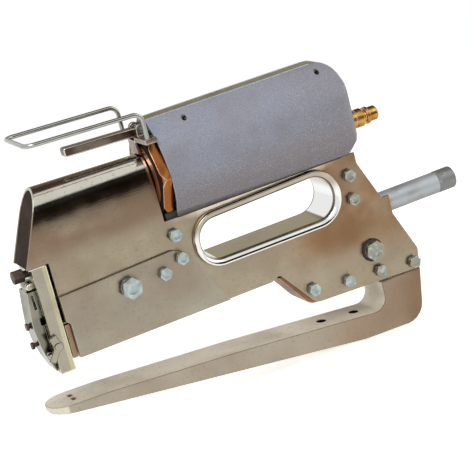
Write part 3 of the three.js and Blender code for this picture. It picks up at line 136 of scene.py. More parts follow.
class Axis(Enum):
    """The axis along which a colour fades; a width counts from the middle to both sides."""

    LENGTH = "X"
    WIDTH = "Y"
    HEIGHT = "Z"


class NodeBook:
    """A node tree with short calls for adding and joining nodes."""

    def __init__(self, tree: bpy.types.NodeTree) -> None:
        """Keep the tree that the calls write to."""
        self.tree = tree

    def feed(self, socket: Socket, value: Value) -> None:
        """Join a socket to another, or set its own value.

        Args:
            socket: The input to feed.
            value: An output socket to join, or a constant.
        """
        if isinstance(value, Socket):
            self.tree.links.new(value, socket)
        elif isinstance(value, tuple) and len(value) == 3 and socket.type == "RGBA":
            socket.default_value = (*value, 1.0)
        else:
            socket.default_value = value

    def add(self, kind: str, settings: dict | None = None, inputs: dict | None = None) -> bpy.types.Node:
        """Add a node.

        Args:
            kind: The node's type.
            settings: Its own properties by name.
            inputs: Values or sockets by the input's name or number.

        Returns:
            The new node.
        """
        node = self.tree.nodes.new(kind)
        for name, value in (settings or {}).items():
            setattr(node, name, value)
        for name, value in (inputs or {}).items():
            self.feed(node.inputs[name], value)
        return node

    def sum(self, operation: str, *values: Value) -> Socket:
        """Add a Math node and give its result."""
        return self.add("ShaderNodeMath", {"operation": operation}, dict(enumerate(values))).outputs[0]

    def step(self, value: Value, start: float, full: float, first: float = 0, last: float = 1) -> Socket:
        """Give the first value before start and the last beyond full, whichever way they lie.

        Args:
            value: What is mapped.
            start: Where the result starts to change.
            full: Where it has changed.
            first: The result before start.
            last: The result beyond full.

        Returns:
            The result, which changes smoothly between.
        """
        if start > full:
            start, full, first, last = full, start, last, first
        inputs = {0: value, 1: start, 2: full, 3: first, 4: last}
        return self.add("ShaderNodeMapRange", {"interpolation_type": "SMOOTHSTEP"}, inputs).outputs[0]

    def blend(self, share: Value, first: Value, second: Value) -> Socket:
        """Mix two colours by a share."""
        return self.add("ShaderNodeMix", {"data_type": "RGBA"}, {0: share, 6: first, 7: second}).outputs[2]


class Page(NodeBook):
    """A material's node tree, with the patterns that the finishes share."""

    def __init__(self, name: str) -> None:
        """Make an empty material with a Principled shader.

        Args:
            name: The material's name.
        """
        self.material = bpy.data.materials.new(name)
        self.material.use_nodes = True
        super().__init__(self.material.node_tree)
        self.tree.nodes.clear()
        self.shader = self.add("ShaderNodeBsdfPrincipled")
        self.add("ShaderNodeOutputMaterial", inputs={0: self.shader.outputs[0]})
        self.place = self.add("ShaderNodeTexCoord").outputs["Object"]
        self.parts = self.add("ShaderNodeSeparateXYZ", inputs={0: self.place}).outputs

    def noise(self, scale: float, detail: float, stretch: Triple = (1, 1, 1), shift: float = 0) -> Socket:
        """Add a noise pattern on the object's own coordinates.

        Args:
            scale: Patches per metre.
            detail: How many finer layers it has.
            stretch: Factors on the coordinates before the pattern.
            shift: How far the pattern is moved, so that two don't match.

        Returns:
            The noise value, about 0.3 to 0.7.
        """
        turned = self.add("ShaderNodeMapping", inputs={0: self.place, 1: (shift, shift, shift), 3: stretch})
        node = self.add("ShaderNodeTexNoise", inputs={"Vector": turned.outputs[0], "Scale": scale, "Detail": detail})
        return node.outputs[0]


@dataclass(frozen=True)
class Cloud:
    """Soft patches of another colour: patches per metre, noise levels where they start and are full."""

    colour: Colour
    scale: float
    start: float = 0.45
    full: float = 0.62
    amount: float = 1.0
    detail: float = 3.0
    stretch: Triple = (1, 1, 1)


@dataclass(frozen=True)
class Fade:
    """A colour that comes in along an axis, from a drawn place to a drawn place, at a wandering line."""

    colour: Colour
    axis: Axis
    start: float
    full: float
    amount: float = 1.0
    wander: float = 0.25


@dataclass(frozen=True)
class Patch:
    """A soft oval of another colour on the sides: its drawn centre in X and Z, and its half-lengths."""

    colour: Colour
    x: float
    z: float
    along: float
    up: float
    amount: float = 1.0


@dataclass(frozen=True)
class Grain:
    """Fine relief: marks per metre, its depth in millimetres, and factors that draw it out."""

    scale: float
    depth: float
    stretch: Triple = (1, 1, 1)
    detail: float = 2.0


@dataclass(frozen=True)
class Polish:
    """A factor on the roughness that comes in along an axis, from a drawn place to a drawn place."""

    axis: Axis
    start: float
    full: float
    factor: float


# How the patterns of all finishes lie: patches per metre, levels, and shifts that keep two apart.
SOFT_DETAIL = 3
SMUDGE_LEVELS = (0.35, 0.65)
CLOUD_SHIFT, FADE_SHIFT, GRAIN_SHIFT, PATCH_SHIFT, SMUDGE_SHIFT = 0.37, 2.1, 0.71, 5.2, 1.3
FADE_SCALE = 34
PATCH_SCALE = 40
PATCH_WANDER = 0.8
PATCH_CORE = 0.35


@dataclass(frozen=True)
class Finish:
    """A surface finish: its colour, its patches, how its gloss varies, and its relief."""

    name: str
    colour: Colour
    metallic: float
    gloss: tuple[float, float]
    clouds: tuple[Cloud, ...] = ()
    fades: tuple[Fade, ...] = ()
    grains: tuple[Grain, ...] = ()
    smudge: float = 60.0
    polish: Polish | None = None
    patches: tuple[Patch, ...] = ()
    mirror: float = 0.5

    def material(self) -> bpy.types.Material:
        """Give the finish's material, which is made the first time that it is asked for."""
        return bpy.data.materials.get(self.name) or self.mix()

    def mix(self) -> bpy.types.Material:
        """Make the material.

        Returns:
            A material whose colour, gloss and relief come from its nodes.
        """
        page = Page(self.name)
        colour: Value = self.colour
        for number, fade in enumerate(self.fades):
            colour = self.faded(page, colour, fade, number)
        for patch in self.patches:
            colour = page.blend(self.oval(page, patch), colour, patch.colour)
        for number, cloud in enumerate(self.clouds):
            noise = page.noise(cloud.scale, cloud.detail, cloud.stretch, CLOUD_SHIFT * (number + 1))
            share = page.step(noise, cloud.start, cloud.full, 0, cloud.amount)
            colour = page.blend(share, colour, cloud.colour)
        page.feed(page.shader.inputs["Base Color"], colour)
        page.shader.inputs["Metallic"].default_value = self.metallic
        page.shader.inputs["Specular IOR Level"].default_value = self.mirror
        smudges = page.noise(self.smudge, SOFT_DETAIL, shift=SMUDGE_SHIFT)
        roughness = page.step(smudges, *SMUDGE_LEVELS, *self.gloss)
        if self.polish:
            share = self.along(page, self.polish.axis, self.polish.start, self.polish.full)
            factor = page.sum("MULTIPLY_ADD", share, self.polish.factor - 1, 1.0)
            roughness = page.sum("MULTIPLY", roughness, factor)
        page.feed(page.shader.inputs["Roughness"], roughness)
        self.relief(page)
        return page.material

    @staticmethod
    def along(page: Page, axis: Axis, start: float, full: float) -> Socket:
        """Give 0 before one drawn place along an axis and 1 beyond another.

        Args:
            page: The material being made.
            axis: The axis.
            start: The drawn place where the share starts to grow.
            full: The drawn place where it is 1.

        Returns:
            The share.
        """
        index = "XYZ".index(axis.value)
        value = page.sum("ABSOLUTE", page.parts[index]) if axis is Axis.WIDTH else page.parts[index]
        low, high = (MM * (place - DRAWN_CENTRE[index]) for place in (start, full))
        return page.step(value, low, high)

    @staticmethod
    def oval(page: Page, patch: Patch) -> Socket:
        """Give how much of a patch shows at a place.

        Args:
            page: The material being made.
            patch: The patch.

        Returns:
            The patch's amount in its middle, falling to 0 at its edge.
        """
        squares = []
        for axis, centre, reach in ((0, patch.x, patch.along), (2, patch.z, patch.up)):
            middle = (centre - DRAWN_CENTRE[axis]) / reach
            away = page.sum("MULTIPLY_ADD", page.parts[axis], 1 / (reach * MM), -middle)
            squares.append(page.sum("MULTIPLY", away, away))
        noise = page.noise(PATCH_SCALE, SOFT_DETAIL, shift=PATCH_SHIFT)
        wander = page.sum("MULTIPLY_ADD", noise, PATCH_WANDER, -PATCH_WANDER / 2)
        distance = page.sum("ADD", page.sum("SQRT", page.sum("ADD", *squares)), wander)
        return page.step(distance, PATCH_CORE, 1.0, patch.amount, 0)

    def faded(self, page: Page, colour: Value, fade: Fade, number: int) -> Socket:
        """Bring one fade over the colour so far.

        Args:
            page: The material being made.
            colour: The colour so far.
            fade: The fade to add.
            number: Its place in the row, which moves its noise.

        Returns:
            The new colour.
        """
        share = self.along(page, fade.axis, fade.start, fade.full)
        wander = page.noise(FADE_SCALE, SOFT_DETAIL, shift=FADE_SHIFT + number)
        moved = page.sum("MULTIPLY_ADD", page.sum("SUBTRACT", wander, 0.5), 2 * fade.wander, share)
        return page.blend(page.step(moved, 0, 1, 0, fade.amount), colour, fade.colour)

    def relief(self, page: Page) -> None:
        """Add the grains to the shader's normal, the coarsest first.

        Args:
            page: The material being made.
        """
        normal = None
        for number, grain in enumerate(self.grains):
            height = page.noise(grain.scale, grain.detail, grain.stretch, GRAIN_SHIFT * (number + 1))
            bump = page.add("ShaderNodeBump", inputs={"Strength": 1.0, "Distance": grain.depth * MM, "Height": height})
            if normal:
                page.feed(bump.inputs["Normal"], normal)
            normal = bump.outputs[0]
        if normal:
            page.feed(page.shader.inputs["Normal"], normal)

    def with_edge_wear_and_light(self, towards: Colour, share: float = 0.5, shine: float = 0.7) -> "Finish":
        """Give the same finish on an edge, coloured for rubbing wear and painted light: a glint where the colour is
        light, shade where it is dark.

        Args:
            towards: The edge colour, for rubbing wear and painted light: light colours paint a glint, dark ones paint
                shade.
            share: How much of it shows.
            shine: Factor on the roughness.

        Returns:
            The edge's finish.
        """
        gloss = (self.gloss[0] * shine, self.gloss[1] * shine)
        colour = mixed(self.colour, towards, share)
        fades = tuple(replace(fade, colour=mixed(fade.colour, towards, share)) for fade in self.fades)
        return replace(self, name=self.name + "_edge", colour=colour, gloss=gloss, fades=fades)


WHITE = (1.0, 1.0, 1.0)
# Default edge colour: rubbing wear together with a painted glint on the edges.
EDGE_WEAR_AND_GLINT = srgb(232, 226, 208)
FINE_SCRATCHES = (Grain(60, 0.02, (1, 1, 30)), Grain(900, 0.012))

PLATE = Finish(
    "plated_sheet",
    srgb(158, 146, 126),
    1.0,
    (0.26, 0.38),
    clouds=(
        Cloud(srgb(136, 112, 86), 14, 0.46, 0.68, 0.4),
        Cloud(srgb(174, 168, 148), 21, 0.52, 0.7, 0.32),
        Cloud(srgb(112, 96, 78), 420, 0.56, 0.72, 0.22, 2),
    ),
    # Fades partly of the sheet's own tone and partly painted reflection: browner towards the rear and high up, greyer
    # low down, lighter over the hood's crown.
    fades=(
        Fade(srgb(140, 105, 74), Axis.LENGTH, 112, 196, 0.95),
        Fade(srgb(164, 154, 134), Axis.HEIGHT, 22, -14, 0.8),
        Fade(srgb(131, 107, 88), Axis.HEIGHT, 60, 80, 0.8),
        Fade(srgb(204, 200, 188), Axis.HEIGHT, 99.5, 103, 1.0, 0.05),
    ),
    grains=FINE_SCRATCHES,
    polish=Polish(Axis.HEIGHT, 85, 97, 0.34),
    # The first patch is a painted highlight that lightens the shaded strip above the hand slot; the other two are
    # brown patches near the rear.
    patches=(
        Patch(srgb(255, 244, 224), 148, 66, 66, 8, 1.0),
        Patch(srgb(122, 84, 54), 206, 14, 26, 17, 0.5),
        Patch(srgb(132, 92, 60), 211, 46, 12, 20, 0.6),
    ),
)
COVER_SHEET = replace(
    PLATE,
    name="cover_sheet",
    colour=srgb(152, 142, 126),
    # Lighter towards the bottom, partly painted reflection as on the plates.
    fades=(Fade(srgb(162, 157, 142), Axis.HEIGHT, 30, 0, 0.8),),
    polish=None,
    patches=(),
)
ARM_METAL = replace(
    PLATE,
    name="forged_arm",
    colour=srgb(186, 175, 156),
    metallic=0.35,
    gloss=(0.42, 0.56),
    fades=(
        Fade(srgb(166, 142, 118), Axis.LENGTH, 140, 210, 0.9),
        Fade(srgb(142, 112, 84), Axis.LENGTH, 224, 252, 0.9),
        # Painted light: the arm between its side faces is lightened, so that its top face is bright where the tool
        # above shades it.
        Fade(srgb(250, 242, 224), Axis.WIDTH, 14.75, 14.2, 1.0, 0.02),
    ),
    grains=(Grain(160, 0.08), Grain(700, 0.03)),
    polish=None,
    patches=(),
)
POLISHED = Finish(
    "polished_steel",
    srgb(204, 200, 190),
    1.0,
    (0.08, 0.17),
    clouds=(Cloud(srgb(160, 150, 134), 40, 0.5, 0.7, 0.5), Cloud(srgb(120, 114, 106), 600, 0.6, 0.75, 0.25)),
    grains=(Grain(900, 0.006),),
)
CHROME = replace(
    POLISHED,
    name="bright_chrome",
    colour=srgb(232, 232, 230),
    gloss=(0.05, 0.11),
    clouds=(Cloud(srgb(196, 194, 190), 40, 0.52, 0.7, 0.4),),
    # Painted reflection on the liner: a dark band where the flare leaves the tunnel, a white highlight band out to the
    # mouth, and tan over the upper part.
    fades=(
        Fade(srgb(104, 86, 70), Axis.WIDTH, 13.4, 14.8, 0.95, 0.05),
        Fade(srgb(228, 226, 222), Axis.WIDTH, 15.5, 16.5, 1.0, 0.05),
        Fade(srgb(160, 147, 126), Axis.HEIGHT, 44, 56, 0.85, 0.1),
    ),
)
# Bright chrome for beads that paint highlight lines: along the covers' tops, where it is also a rolled lip, and along
# the guide bar.
LIP_AND_HIGHLIGHT_CHROME = replace(CHROME, name="lip_and_highlight_chrome", fades=())
WIRE = replace(POLISHED, name="bright_wire", colour=srgb(172, 172, 167), gloss=(0.16, 0.28))
TRIGGER_STEEL = replace(POLISHED, name="trigger_steel", colour=srgb(92, 74, 62), gloss=(0.14, 0.24))
NOSE_STEEL = replace(
    POLISHED,
    name="nose_steel",
    colour=srgb(160, 155, 138),
    gloss=(0.18, 0.32),
    # Painted highlight: a yellow-bright strip on the rear part of the guide bar.
    fades=(Fade(srgb(200, 192, 152), Axis.LENGTH, -8.2, -7.0, 0.6, 0.06),),
)
DOOR_STEEL = replace(
    NOSE_STEEL,
    name="door_steel",
    colour=srgb(118, 117, 106),
    # Painted light: the door's side faces are lighter than its darker front face.
    fades=(Fade(srgb(196, 194, 194), Axis.WIDTH, 13.8, 14.4, 1.0, 0.02),),
)
CATCH_STEEL = replace(NOSE_STEEL, name="catch_steel", fades=())
PLAIN_STEEL = Finish(
    "plain_steel",
    srgb(138, 131, 120),
    1.0,
    (0.32, 0.5),
    clouds=(Cloud(srgb(108, 98, 86), 90, 0.48, 0.68, 0.6), Cloud(srgb(90, 70, 56), 300, 0.6, 0.74, 0.4)),
    grains=(Grain(500, 0.03),),
)
BRACKET_STEEL = replace(PLAIN_STEEL, name="bracket_steel", colour=srgb(146, 132, 122), gloss=(0.24, 0.38))
ZINC = Finish(
    "zinc_plate",
    srgb(166, 178, 176),
    1.0,
    (0.26, 0.4),
    clouds=(
        Cloud(srgb(190, 202, 200), 260, 0.48, 0.62, 0.6, 2),
        Cloud(srgb(122, 140, 142), 190, 0.52, 0.66, 0.5, 2),
        Cloud(srgb(140, 132, 96), 120, 0.6, 0.72, 0.3, 2),
    ),
    fades=(Fade(srgb(142, 130, 108), Axis.LENGTH, 190, 214, 0.7),),
    grains=(Grain(700, 0.03), Grain(2200, 0.012)),
)
CHARCOAL = Finish(
    "charcoal_coat",
    srgb(78, 66, 61),
    0.0,
    (0.5, 0.66),
    clouds=(Cloud(srgb(94, 78, 70), 60, 0.48, 0.68, 0.6), Cloud(srgb(58, 48, 45), 500, 0.55, 0.7, 0.5)),
    grains=(Grain(1400, 0.05),),
    mirror=0.0,
)
# Near black for the arm's bores: painted shade inside the holes.
BORE_SHADE = replace(CHARCOAL, name="painted_bore_shade", colour=srgb(24, 20, 18), clouds=(Cloud(srgb(48, 38, 32), 400),))
GUNMETAL = Finish(
    "dark_oxide",
    srgb(74, 60, 55),
    0.85,
    (0.32, 0.5),
    clouds=(Cloud(srgb(108, 84, 74), 110, 0.5, 0.68, 0.6), Cloud(srgb(40, 34, 34), 400, 0.56, 0.7, 0.5)),
    grains=(Grain(900, 0.03),),
)
BLACK_OXIDE = replace(
    GUNMETAL,
    name="black_oxide",
    colour=srgb(26, 24, 24),
    clouds=(Cloud(srgb(44, 40, 38), 300, 0.5, 0.7, 0.5),),
)
SCREW_RIM = Finish("screw_rim", srgb(231, 231, 231), 0.0, (1.0, 1.0), mirror=0.0)
BROWN_STEEL = replace(PLAIN_STEEL, name="brown_spacer", colour=srgb(146, 104, 78), gloss=(0.34, 0.5))
MAGAZINE_TAN = replace(PLAIN_STEEL, name="magazine_tan", colour=srgb(152, 122, 98), gloss=(0.3, 0.44))
BRASS = Finish(
    "brass_nut",
    srgb(150, 93, 49),
    1.0,
    (0.2, 0.34),
    clouds=(Cloud(srgb(118, 64, 30), 46, 0.46, 0.66, 0.7), Cloud(srgb(196, 136, 78), 110, 0.57, 0.73, 0.4)),
    grains=(Grain(1200, 0.015, (1, 6, 6)),),
)
GOLD = Finish(
    "gold_brass",
    srgb(194, 146, 74),
    1.0,
    (0.16, 0.28),
    clouds=(Cloud(srgb(150, 98, 44), 130, 0.48, 0.66, 0.6), Cloud(srgb(236, 206, 142), 240, 0.55, 0.7, 0.5)),
    grains=(Grain(1500, 0.012, (6, 1, 1)),),
)
ALUMINIUM = Finish(
    "dull_aluminium",
    srgb(180, 185, 189),
    0.75,
    (0.42, 0.56),
    clouds=(Cloud(srgb(146, 144, 140), 70, 0.48, 0.68, 0.4), Cloud(srgb(186, 191, 196), 320, 0.56, 0.7, 0.4)),
    # Painted shade: darker towards the bottom of the pull.
    fades=(Fade(srgb(152, 149, 145), Axis.HEIGHT, 21, 13, 0.8, 0.1),),
    grains=(Grain(1100, 0.02, (5, 1, 1)),),
)
CAP_METAL = replace(ALUMINIUM, name="cap_aluminium", colour=srgb(136, 136, 133), gloss=(0.46, 0.6), fades=())
SPINE_METAL = replace(
    ALUMINIUM,
    name="spine_metal",
    colour=srgb(163, 159, 148),
    fades=(),
    gloss=(0.24, 0.38),
    clouds=(Cloud(srgb(128, 120, 98), 60, 0.46, 0.66, 0.6), Cloud(srgb(178, 175, 160), 200, 0.56, 0.7, 0.4)),
)
HOUSING_PAINT = Finish(
    "speckled_grey",
    srgb(147, 151, 164),
    0.15,
    (0.42, 0.56),
    clouds=(
        Cloud(srgb(176, 181, 194), 1200, 0.5, 0.66, 0.48, 2),
        Cloud(srgb(108, 106, 116), 1500, 0.51, 0.68, 0.5, 2),
        Cloud(srgb(138, 132, 136), 26, 0.48, 0.66, 0.5),
    ),
    # The first fade is painted shade, darker towards the bottom of the covers; the second browns them towards the
    # rear.
    fades=(
        Fade(srgb(135, 127, 128), Axis.HEIGHT, 106, 74, 0.9),
        Fade(srgb(136, 126, 126), Axis.LENGTH, 150, 218, 0.4),
    ),
    grains=(Grain(1900, 0.09), Grain(300, 0.02)),
)
BLACK_PLASTIC = Finish(
    "black_plastic",
    srgb(20, 20, 22),
    0.0,
    (0.42, 0.6),
    clouds=(Cloud(srgb(36, 34, 35), 240, 0.5, 0.7, 0.6),),
    grains=(Grain(1500, 0.05),),
    mirror=0.25,
)
# Black rubber for the piston seal; the same black paints shade as the nut's front ring and the bead under the covers.
RUBBER_AND_SHADE_BLACK = Finish(
    "rubber_and_painted_shade",
    srgb(24, 22, 22),
    0.0,
    (0.7, 0.85),
    clouds=(Cloud(srgb(42, 39, 38), 160, 0.5, 0.7, 0.6),),
    grains=(Grain(900, 0.05),),
    mirror=0.15,
)


def linked(name: str, data: bpy.types.ID) -> Piece:
    """Put a mesh, lamp or camera into the scene as an object at the origin.

    Args:
        name: The object's name.
        data: What it shows.

    Returns:
        The new object.
    """
    piece = bpy.data.objects.new(name, data)
    bpy.context.scene.collection.objects.link(piece)
    return piece


def settled(source: Piece) -> Piece:
    """Make an object's modifiers its own plain mesh.

    Args:
        source: An object with modifiers.

    Returns:
        The same object with the finished mesh and no modifier.
    """
    depsgraph = bpy.context.evaluated_depsgraph_get()
    mesh = bpy.data.meshes.new_from_object(
        source.evaluated_get(depsgraph), preserve_all_data_layers=True, depsgraph=depsgraph
    )
    source.modifiers.clear()
    old = source.data
    source.data = mesh
    mesh.name = source.name
    if old.users == 0:
        bpy.data.meshes.remove(old)
    return source


@contextmanager
def edited(mesh: Mesh) -> Iterator[bmesh.types.BMesh]:
    """Open a mesh for editing, and write it back at the end.

    Args:
        mesh: The mesh.

    Yields:
        The mesh, open for editing.
    """
    work = bmesh.new()
    work.from_mesh(mesh)
    yield work
    work.to_mesh(mesh)
    work.free()


def tidied(mesh: Mesh, join_flat: bool = True, merge: float = MERGE) -> None:
    """Merge a mesh's doubles, join its flat triangles, and turn its faces outwards.

    Args:
        mesh: The mesh.
        join_flat: Whether flat triangles are joined.
        merge: How far apart doubles may lie, in metres.
    """
    with edited(mesh) as work:
        bmesh.ops.remove_doubles(work, verts=work.verts, dist=merge)
        if join_flat:
            bmesh.ops.dissolve_limit(work, angle_limit=FLAT_ANGLE, verts=work.verts, edges=work.edges)
        bmesh.ops.recalc_face_normals(work, faces=work.faces)


def skinned(name: str, rings: Sequence[Sequence[Vector]]) -> Mesh:
    """Skin a closed row of closed rings, which all have as many points.

    Args:
        name: The mesh's name.
        rings: The rings, of which the last is joined to the first.

    Returns:
        A closed mesh.
    """
    mesh = bpy.data.meshes.new(name)
    with edited(mesh) as work:
        rows = [[work.verts.new(place) for place in ring] for ring in rings]
        for one, other in zip(rows, rows[1:] + rows[:1]):
            for corners in zip(one, one[1:] + one[:1], other[1:] + other[:1], other):
                work.faces.new(corners)
        bmesh.ops.recalc_face_normals(work, faces=work.faces)
    return mesh


def turned(name: str, z: float, profile: Sequence[Place]) -> Mesh:
    """Turn a closed profile about an axis that lies along the tool.

    Args:
        name: The mesh's name.
        z: The axis's drawn height.
        profile: Drawn X and radius. The last point joins the first, so a bore is part of the profile.

    Returns:
        A closed mesh.
    """
    angles = [2 * math.pi * step / RING_SIDES for step in range(RING_SIDES)]
    ways = [(math.cos(angle), math.sin(angle)) for angle in angles]
    return skinned(name, [[at(x, radius * y, z + radius * up) for y, up in ways] for x, radius in profile])


@dataclass(frozen=True)
class EdgeBreak:
    """How a piece's edges are rounded: width in millimetres, steps, the least angle in degrees, and which."""

    width: float = 0.35
    steps: int = 2
    angle: float = 32.0
    outer_only: bool = False

    def put_on(self, piece: Piece, edge_slot: int) -> Piece:
        """Round the edges and even out the shading.

        Args:
            piece: The piece, a merged mesh.
            edge_slot: The number of the material on the rounded edges.

        Returns:
            The piece with its final mesh.
        """
        bevel = piece.modifiers.new("edges", "BEVEL")
        bevel.width = self.width * MM
        bevel.segments = self.steps
        bevel.limit_method = "WEIGHT" if self.outer_only else "ANGLE"
        bevel.angle_limit = math.radians(self.angle)
        if self.outer_only:
            self.mark_outer(piece.data)
        bevel.use_clamp_overlap = False
        bevel.miter_outer = "MITER_ARC"
        bevel.material = edge_slot
        piece.data.shade_smooth()
        piece.modifiers.new("normals", "WEIGHTED_NORMAL").weight = FACE_WEIGHT
        return settled(piece)

    def mark_outer(self, mesh: Mesh) -> None:
        """Mark the edges that stand out, so that inner corners keep their room.

        Args:
            mesh: The piece's merged mesh.
        """
        with edited(mesh) as work:
            layer = work.edges.layers.float.new("bevel_weight_edge")
            for edge in work.edges:
                if len(edge.link_faces) == 2 and edge.calc_face_angle_signed() > math.radians(self.angle):
                    edge[layer] = 1.0


def fitted(piece: Piece, body: str, slot: str, *nodes: str) -> Piece:
    """Hang a piece on its body's empty, and hide the CAD nodes that it stands for.

    Args:
        piece: The finished piece.
        body: The body that carries it.
        slot: The record's material slot; not used.
        nodes: The CAD nodes that it replaces.

    Returns:
        The same piece.
    """
    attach(piece, body)
    if nodes:
        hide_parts(*nodes)
    log.info("%s: %d faces on %s", piece.name, len(piece.data.polygons), body)
    return piece


@dataclass(frozen=True)
class Dress:
    """What a piece rides on and wears: body, slot, finish, and edges with a colour for rubbing wear and painted light.
    """

    body: str
    slot: str
    finish: Finish
    edges: EdgeBreak = EdgeBreak()
    # The edge colour and its share: rubbing wear with painted light, a glint where it is light and shade where it is
    # dark.
    edge_wear_and_light: Colour | None = EDGE_WEAR_AND_GLINT
    edge_wear_and_light_share: float = 0.45

    def paint(self, mesh: Mesh) -> Mesh:
        """Give a mesh the finish and, if it has one, its edge finish of wear and painted light, as its materials.

        Args:
            mesh: The mesh.

        Returns:
            The same mesh.
        """
        mesh.materials.clear()
        mesh.materials.append(self.finish.material())
        if self.edge_wear_and_light:
            mesh.materials.append(self.finish.with_edge_wear_and_light(self.edge_wear_and_light, self.edge_wear_and_light_share).material())
        mesh.polygons.foreach_set("material_index", [0] * len(mesh.polygons))
        return mesh

    def copied(self, node: str, join_flat: bool = True, merge: float = COPY_MERGE) -> Mesh:
        """Copy and paint a node's mesh.

        Args:
            node: The CAD node.
            join_flat: Whether flat triangles are joined.
            merge: How far apart doubles may lie, in metres.

        Returns:
            The new mesh.
        """
        mesh = self.paint(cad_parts[node].data.copy())
        tidied(mesh, join_flat, merge)
        return mesh

    def carry(self, node: str, shape: Callable[[Mesh], None] | None = None, merge: float = COPY_MERGE) -> Piece:
        """Let a copy of a CAD piece with rounded edges, coloured for wear and painted light, stand for it.

        Args:
            node: The CAD node.
            shape: What changes the copy before its edges are rounded.
            merge: How far apart doubles may lie, in metres.

        Returns:
            The finished piece.
        """
        mesh = self.copied(node, merge=merge)
        if shape:
            shape(mesh)
        return self.finished(node + "_finished", mesh, node)

    def make(self, name: str, mesh: Mesh, *nodes: str) -> Piece:
        """Make a painted piece of a mesh that was made here."""
        return self.finished(name, self.paint(mesh), *nodes)

    def finished(self, name: str, mesh: Mesh, *nodes: str) -> Piece:
        """Round a painted mesh's edges and fit it to the frame.

        Args:
            name: The piece's name.
            mesh: Its painted mesh.
            nodes: The CAD nodes that it replaces.

        Returns:
            The finished piece.
        """
        piece = self.edges.put_on(linked(name, mesh), min(1, len(mesh.materials) - 1))
        return fitted(piece, self.body, self.slot, *nodes)


def dressed(finish: Finish, *nodes: str) -> None:
    """Give CAD nodes that stay a finish through their material slots.

    Args:
        finish: The finish.
        nodes: The CAD nodes.
    """
    for node in nodes:
        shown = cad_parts[node]
        if not shown.material_slots:
            shown.data.materials.append(finish.material())
        for slot in shown.material_slots:
            slot.material = finish.material()
        log.info("%s: dressed with %s", node, finish.name)


@dataclass(frozen=True)
class Spring:
    """A coil spring: its node, a joint, its drawn ends and the travel."""

    node: str
    joint: str
    free: float
    fixed: float
    travel: float

    def build(self) -> Piece:
        """Let a copy of the coil stand for its node.

        Returns:
            The finished coil.
        """
        mesh = Dress("body", "steel", PLAIN_STEEL).copied(self.node, False)
        mesh.shade_smooth()
        piece = fitted(linked(self.node + "_finished", mesh), "body", "steel", self.node)
        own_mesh(piece)
        return piece


class Cut(Enum):
    """What two solids leave: the first without the second, or what both hold."""

    AWAY = "DIFFERENCE"
    SHARED = "INTERSECT"


